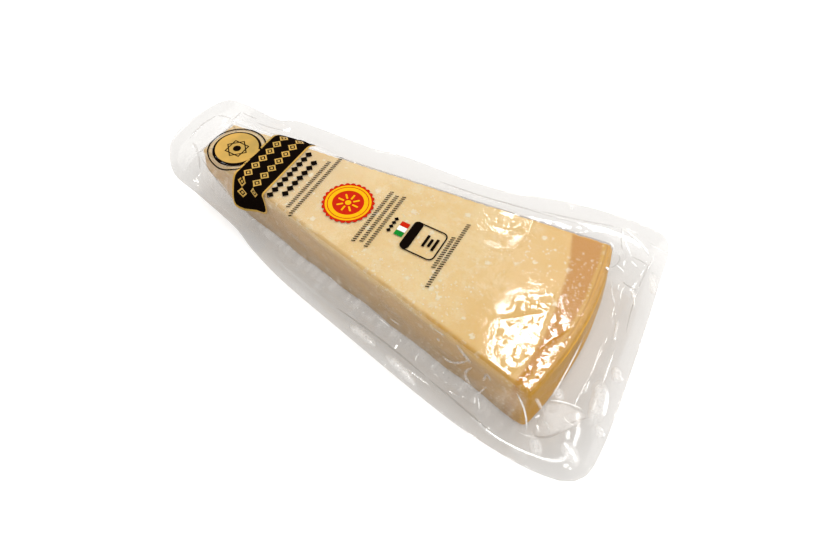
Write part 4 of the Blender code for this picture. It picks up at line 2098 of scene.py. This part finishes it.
@dataclass(frozen=True)
class Rosette:
    """The red and yellow rosette: a scalloped rim, a yellow ring with a red line, and a yellow flower."""

    at: Place = (63.1, -1.1)
    radius: float = 9.5
    scallops: int = 26
    scallop_depth: float = 0.7
    yellow_ring: Span = (5.7, 8.3)
    red_line: Span = (7.25, 7.5)
    heart: float = 1.1
    petals: int = 8
    petal_middle: float = 3.0
    petal: Triple = (2.4, 0.7, 0.3)

    def print_on(self, film: PrintedFilm) -> None:
        """Prints the rosette.

        Args:
            film: the printed film.
        """
        film.lay(scalloped_disc(self.radius, self.scallop_depth, self.scallops), Slot.RED, self.at)
        film.lay(ring(*self.yellow_ring), Slot.YELLOW, self.at, 1)
        film.lay(ring(*self.red_line), Slot.RED, self.at, 2)
        film.lay(disc(self.heart, 20), Slot.YELLOW, self.at, 1)
        for index in range(self.petals):
            angle = 2 * math.pi * index / self.petals
            outwards = (self.petal_middle * math.cos(angle), self.petal_middle * math.sin(angle))
            place = (self.at[0] + outwards[0], self.at[1] + outwards[1])
            film.lay(bar(*self.petal), Slot.YELLOW, place, 1, angle)


@dataclass(frozen=True)
class StripePatch:
    """A small patch of three stripes."""

    along: float = 85.7
    size: tuple[float, float] = (3.2, 2.0)
    lattice: float = 0.8
    stripes: tuple[tuple[Slot, float], ...] = ((Slot.RED, 1.2), (Slot.WHITE, -0.9), (Slot.GREEN, -3.1))

    def print_on(self, film: PrintedFilm) -> None:
        """Prints the patch on the film."""
        for ink, across in self.stripes:
            film.lay(bar(*self.size, 0.0, self.lattice), ink, (self.along - film.tilt * across, across))


@dataclass(frozen=True)
class Panel:
    """A rounded frame with a dark field and plain bars in it."""

    at: Place = (94.8, -1.3)
    size: float = 13.2
    rounding: float = 2.2
    stroke: float = 0.5
    field_width: float = 3.4
    field_margin: float = 0.3
    field_rounding: float = 1.5
    bars: tuple[Place, ...] = ((0.6, 5.4), (2.4, 3.6), (4.2, 5.4))
    bar_width: float = 1.0
    bar_rounding: float = 0.2
    bar_shift: float = 0.4

    def print_on(self, film: PrintedFilm) -> None:
        """Prints the panel.

        Args:
            film: the printed film.
        """
        along, across = self.at
        edge = along - (self.size - self.field_width) / 2
        film.lay(frame(self.size, self.size, self.rounding, self.stroke), Slot.BLACK, self.at)
        dark = bar(self.field_width, self.size - self.field_margin, self.field_rounding)
        film.lay(dark, Slot.BLACK, (edge, across))
        for offset, length in self.bars:
            plain = bar(self.bar_width, length, self.bar_rounding)
            film.lay(plain, Slot.BLACK, (along + offset, across + self.bar_shift))


@dataclass(frozen=True)
class PrintDesign:
    """Everything that is printed on the film."""

    rows: tuple[MotifRow, ...] = (
        MotifRow(36.9, 12.0, -14.5, Motif.LOZENGE),
        MotifRow(41.2, 9.5, -11.5, Motif.LOZENGE),
        MotifRow(45.8, 12.0, -15.0, Motif.STITCH),
        MotifRow(48.5, 16.4, -17.0, Motif.STITCH),
        MotifRow(74.0, 12.0, -15.0, Motif.STITCH),
        MotifRow(76.5, 11.3, -13.5, Motif.STITCH),
        MotifRow(79.0, 12.3, -14.7, Motif.STITCH),
        MotifRow(81.9, 2.8, -5.2, Motif.SMALL_LOZENGE),
        MotifRow(103.0, 5.8, -10.0, Motif.STITCH),
        MotifRow(104.9, 13.5, -17.0, Motif.STITCH),
    )

    def print_on(self, film: PrintedFilm) -> None:
        """Prints the whole design on the film."""
        for item in (Badge(), Band(), *self.rows, Rosette(), StripePatch(), Panel()):
            item.print_on(film)


@dataclass(frozen=True)
class Softbox:
    """A square, round or oval lamp that faces the pack."""

    name: str
    place: Triple
    size: float
    power: float
    shape: str = "SQUARE"
    stretch: float = 1.0
    spin: float = 0.0

    def build(self) -> bpy.types.Object:
        """Hangs the lamp.

        Returns:
            The lamp.
        """
        light = bpy.data.lights.new(self.name, "AREA")
        light.shape = self.shape
        light.size = self.size
        if self.shape == "ELLIPSE":
            light.size_y = self.size * self.stretch
        light.energy = self.power
        lamp = bpy.data.objects.new(self.name, light)
        lamp.location = self.place
        facing = Vector(self.place).to_track_quat("Z", "Y")
        lamp.rotation_euler = (facing @ Quaternion((0.0, 0.0, 1.0), math.radians(self.spin))).to_euler()
        bpy.context.scene.collection.objects.link(lamp)
        return lamp


@dataclass(frozen=True)
class Studio:
    """A plain white floor, soft light and the photo's camera."""

    camera_place: Triple = (0.08132, -0.11419, 0.17990)
    camera_axes: tuple[Triple, ...] = (
        (0.8480, 0.5298, 0.0136),
        (-0.4423, 0.6934, 0.5688),
        (0.2920, -0.4884, 0.8223),
    )
    lens: float = 25.714
    sensor: float = 36.0
    near_clip: float = 0.01
    floor_size: float = 4.0
    floor_drop: float = 0.0002
    floor_white: Colour = (0.86, 0.86, 0.86, 1.0)
    floor_roughness: float = 0.9
    sky: float = 0.72
    floor_glow: float = 0.30
    lamps: tuple[Softbox, ...] = (
        Softbox("glint", (0.012, 0.277, 0.532), 0.090, 0.85, "ELLIPSE", 1.45, 28.0),
        Softbox("far_edge_glint", (-0.106, 0.4380, 0.532), 0.036, 0.100, "DISK"),
        Softbox("back_right", (0.70, 0.90, 0.85), 1.80, 14.5),
        Softbox("left", (-1.10, 0.20, 0.50), 1.60, 8.5),
        Softbox("front_strip", (0.30, -0.90, 0.90), 0.22, 1.9),
    )

    def floor(self) -> bpy.types.Object:
        """Builds the floor.

        Returns:
            The floor, marked as stage.
        """
        bm = bmesh.new()
        bmesh.ops.create_grid(bm, x_segments=4, y_segments=4, size=self.floor_size)
        bmesh.ops.translate(bm, verts=bm.verts, vec=(0.0, 0.0, -self.floor_drop))
        mesh = bpy.data.meshes.new("floor")
        bm.to_mesh(mesh)
        bm.free()
        sheet = NodeSheet("floor_white")
        white = {
            "Base Color": self.floor_white,
            "Roughness": self.floor_roughness,
            "Emission Color": WHITE,
            "Emission Strength": self.floor_glow,
        }
        mesh.materials.append(sheet.finish(sheet.principled(white)))
        floor = bpy.data.objects.new("floor", mesh)
        bpy.context.scene.collection.objects.link(floor)
        return floor

    def lights(self) -> None:
        """Sets the sky and hangs the lamps."""
        world = bpy.data.worlds.new("studio")
        world.use_nodes = True
        background = world.node_tree.nodes["Background"]
        background.inputs["Color"].default_value = WHITE
        background.inputs["Strength"].default_value = self.sky
        bpy.context.scene.world = world
        for lamp in self.lamps:
            lamp.build()

    def camera(self) -> bpy.types.Object:
        """Places the camera.

        Returns:
            The camera.
        """
        data = bpy.data.cameras.new("camera")
        data.sensor_width = self.sensor
        data.lens = self.lens
        data.clip_start = self.near_clip
        camera = bpy.data.objects.new("camera", data)
        axes = Matrix(self.camera_axes).transposed().to_4x4()
        camera.matrix_world = Matrix.Translation(self.camera_place) @ axes
        bpy.context.scene.collection.objects.link(camera)
        bpy.context.scene.camera = camera
        return camera

    def build(self) -> None:
        """Builds the whole studio, and sets plain colours for the view."""
        self.floor()
        self.lights()
        self.camera()
        bpy.context.scene.view_settings.view_transform = "Standard"
        bpy.context.scene.view_settings.look = "None"


def main() -> None:
    """Builds the pack and the studio."""
    logging.basicConfig(level=logging.INFO, format="%(message)s")
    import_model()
    wedge, flange = WedgeSizes(), FlangeSizes()
    loop = Outline(wedge, flange).loop()
    CheeseWedge(wedge, loop).build()
    envelope = FilmEnvelope(wedge, flange, loop)
    surface = envelope.build()
    film = PrintedFilm(wedge, loop, envelope.rings()[0], surface)
    PrintDesign().print_on(film)
    film.build()
    studio = Studio()
    eye = Vector(studio.camera_place) + Vector(wedge.pack_origin)
    FoldDesign().raise_on(FilmFolds(wedge, surface, eye))
    studio.build()


if __name__ == "__main__":
    main()
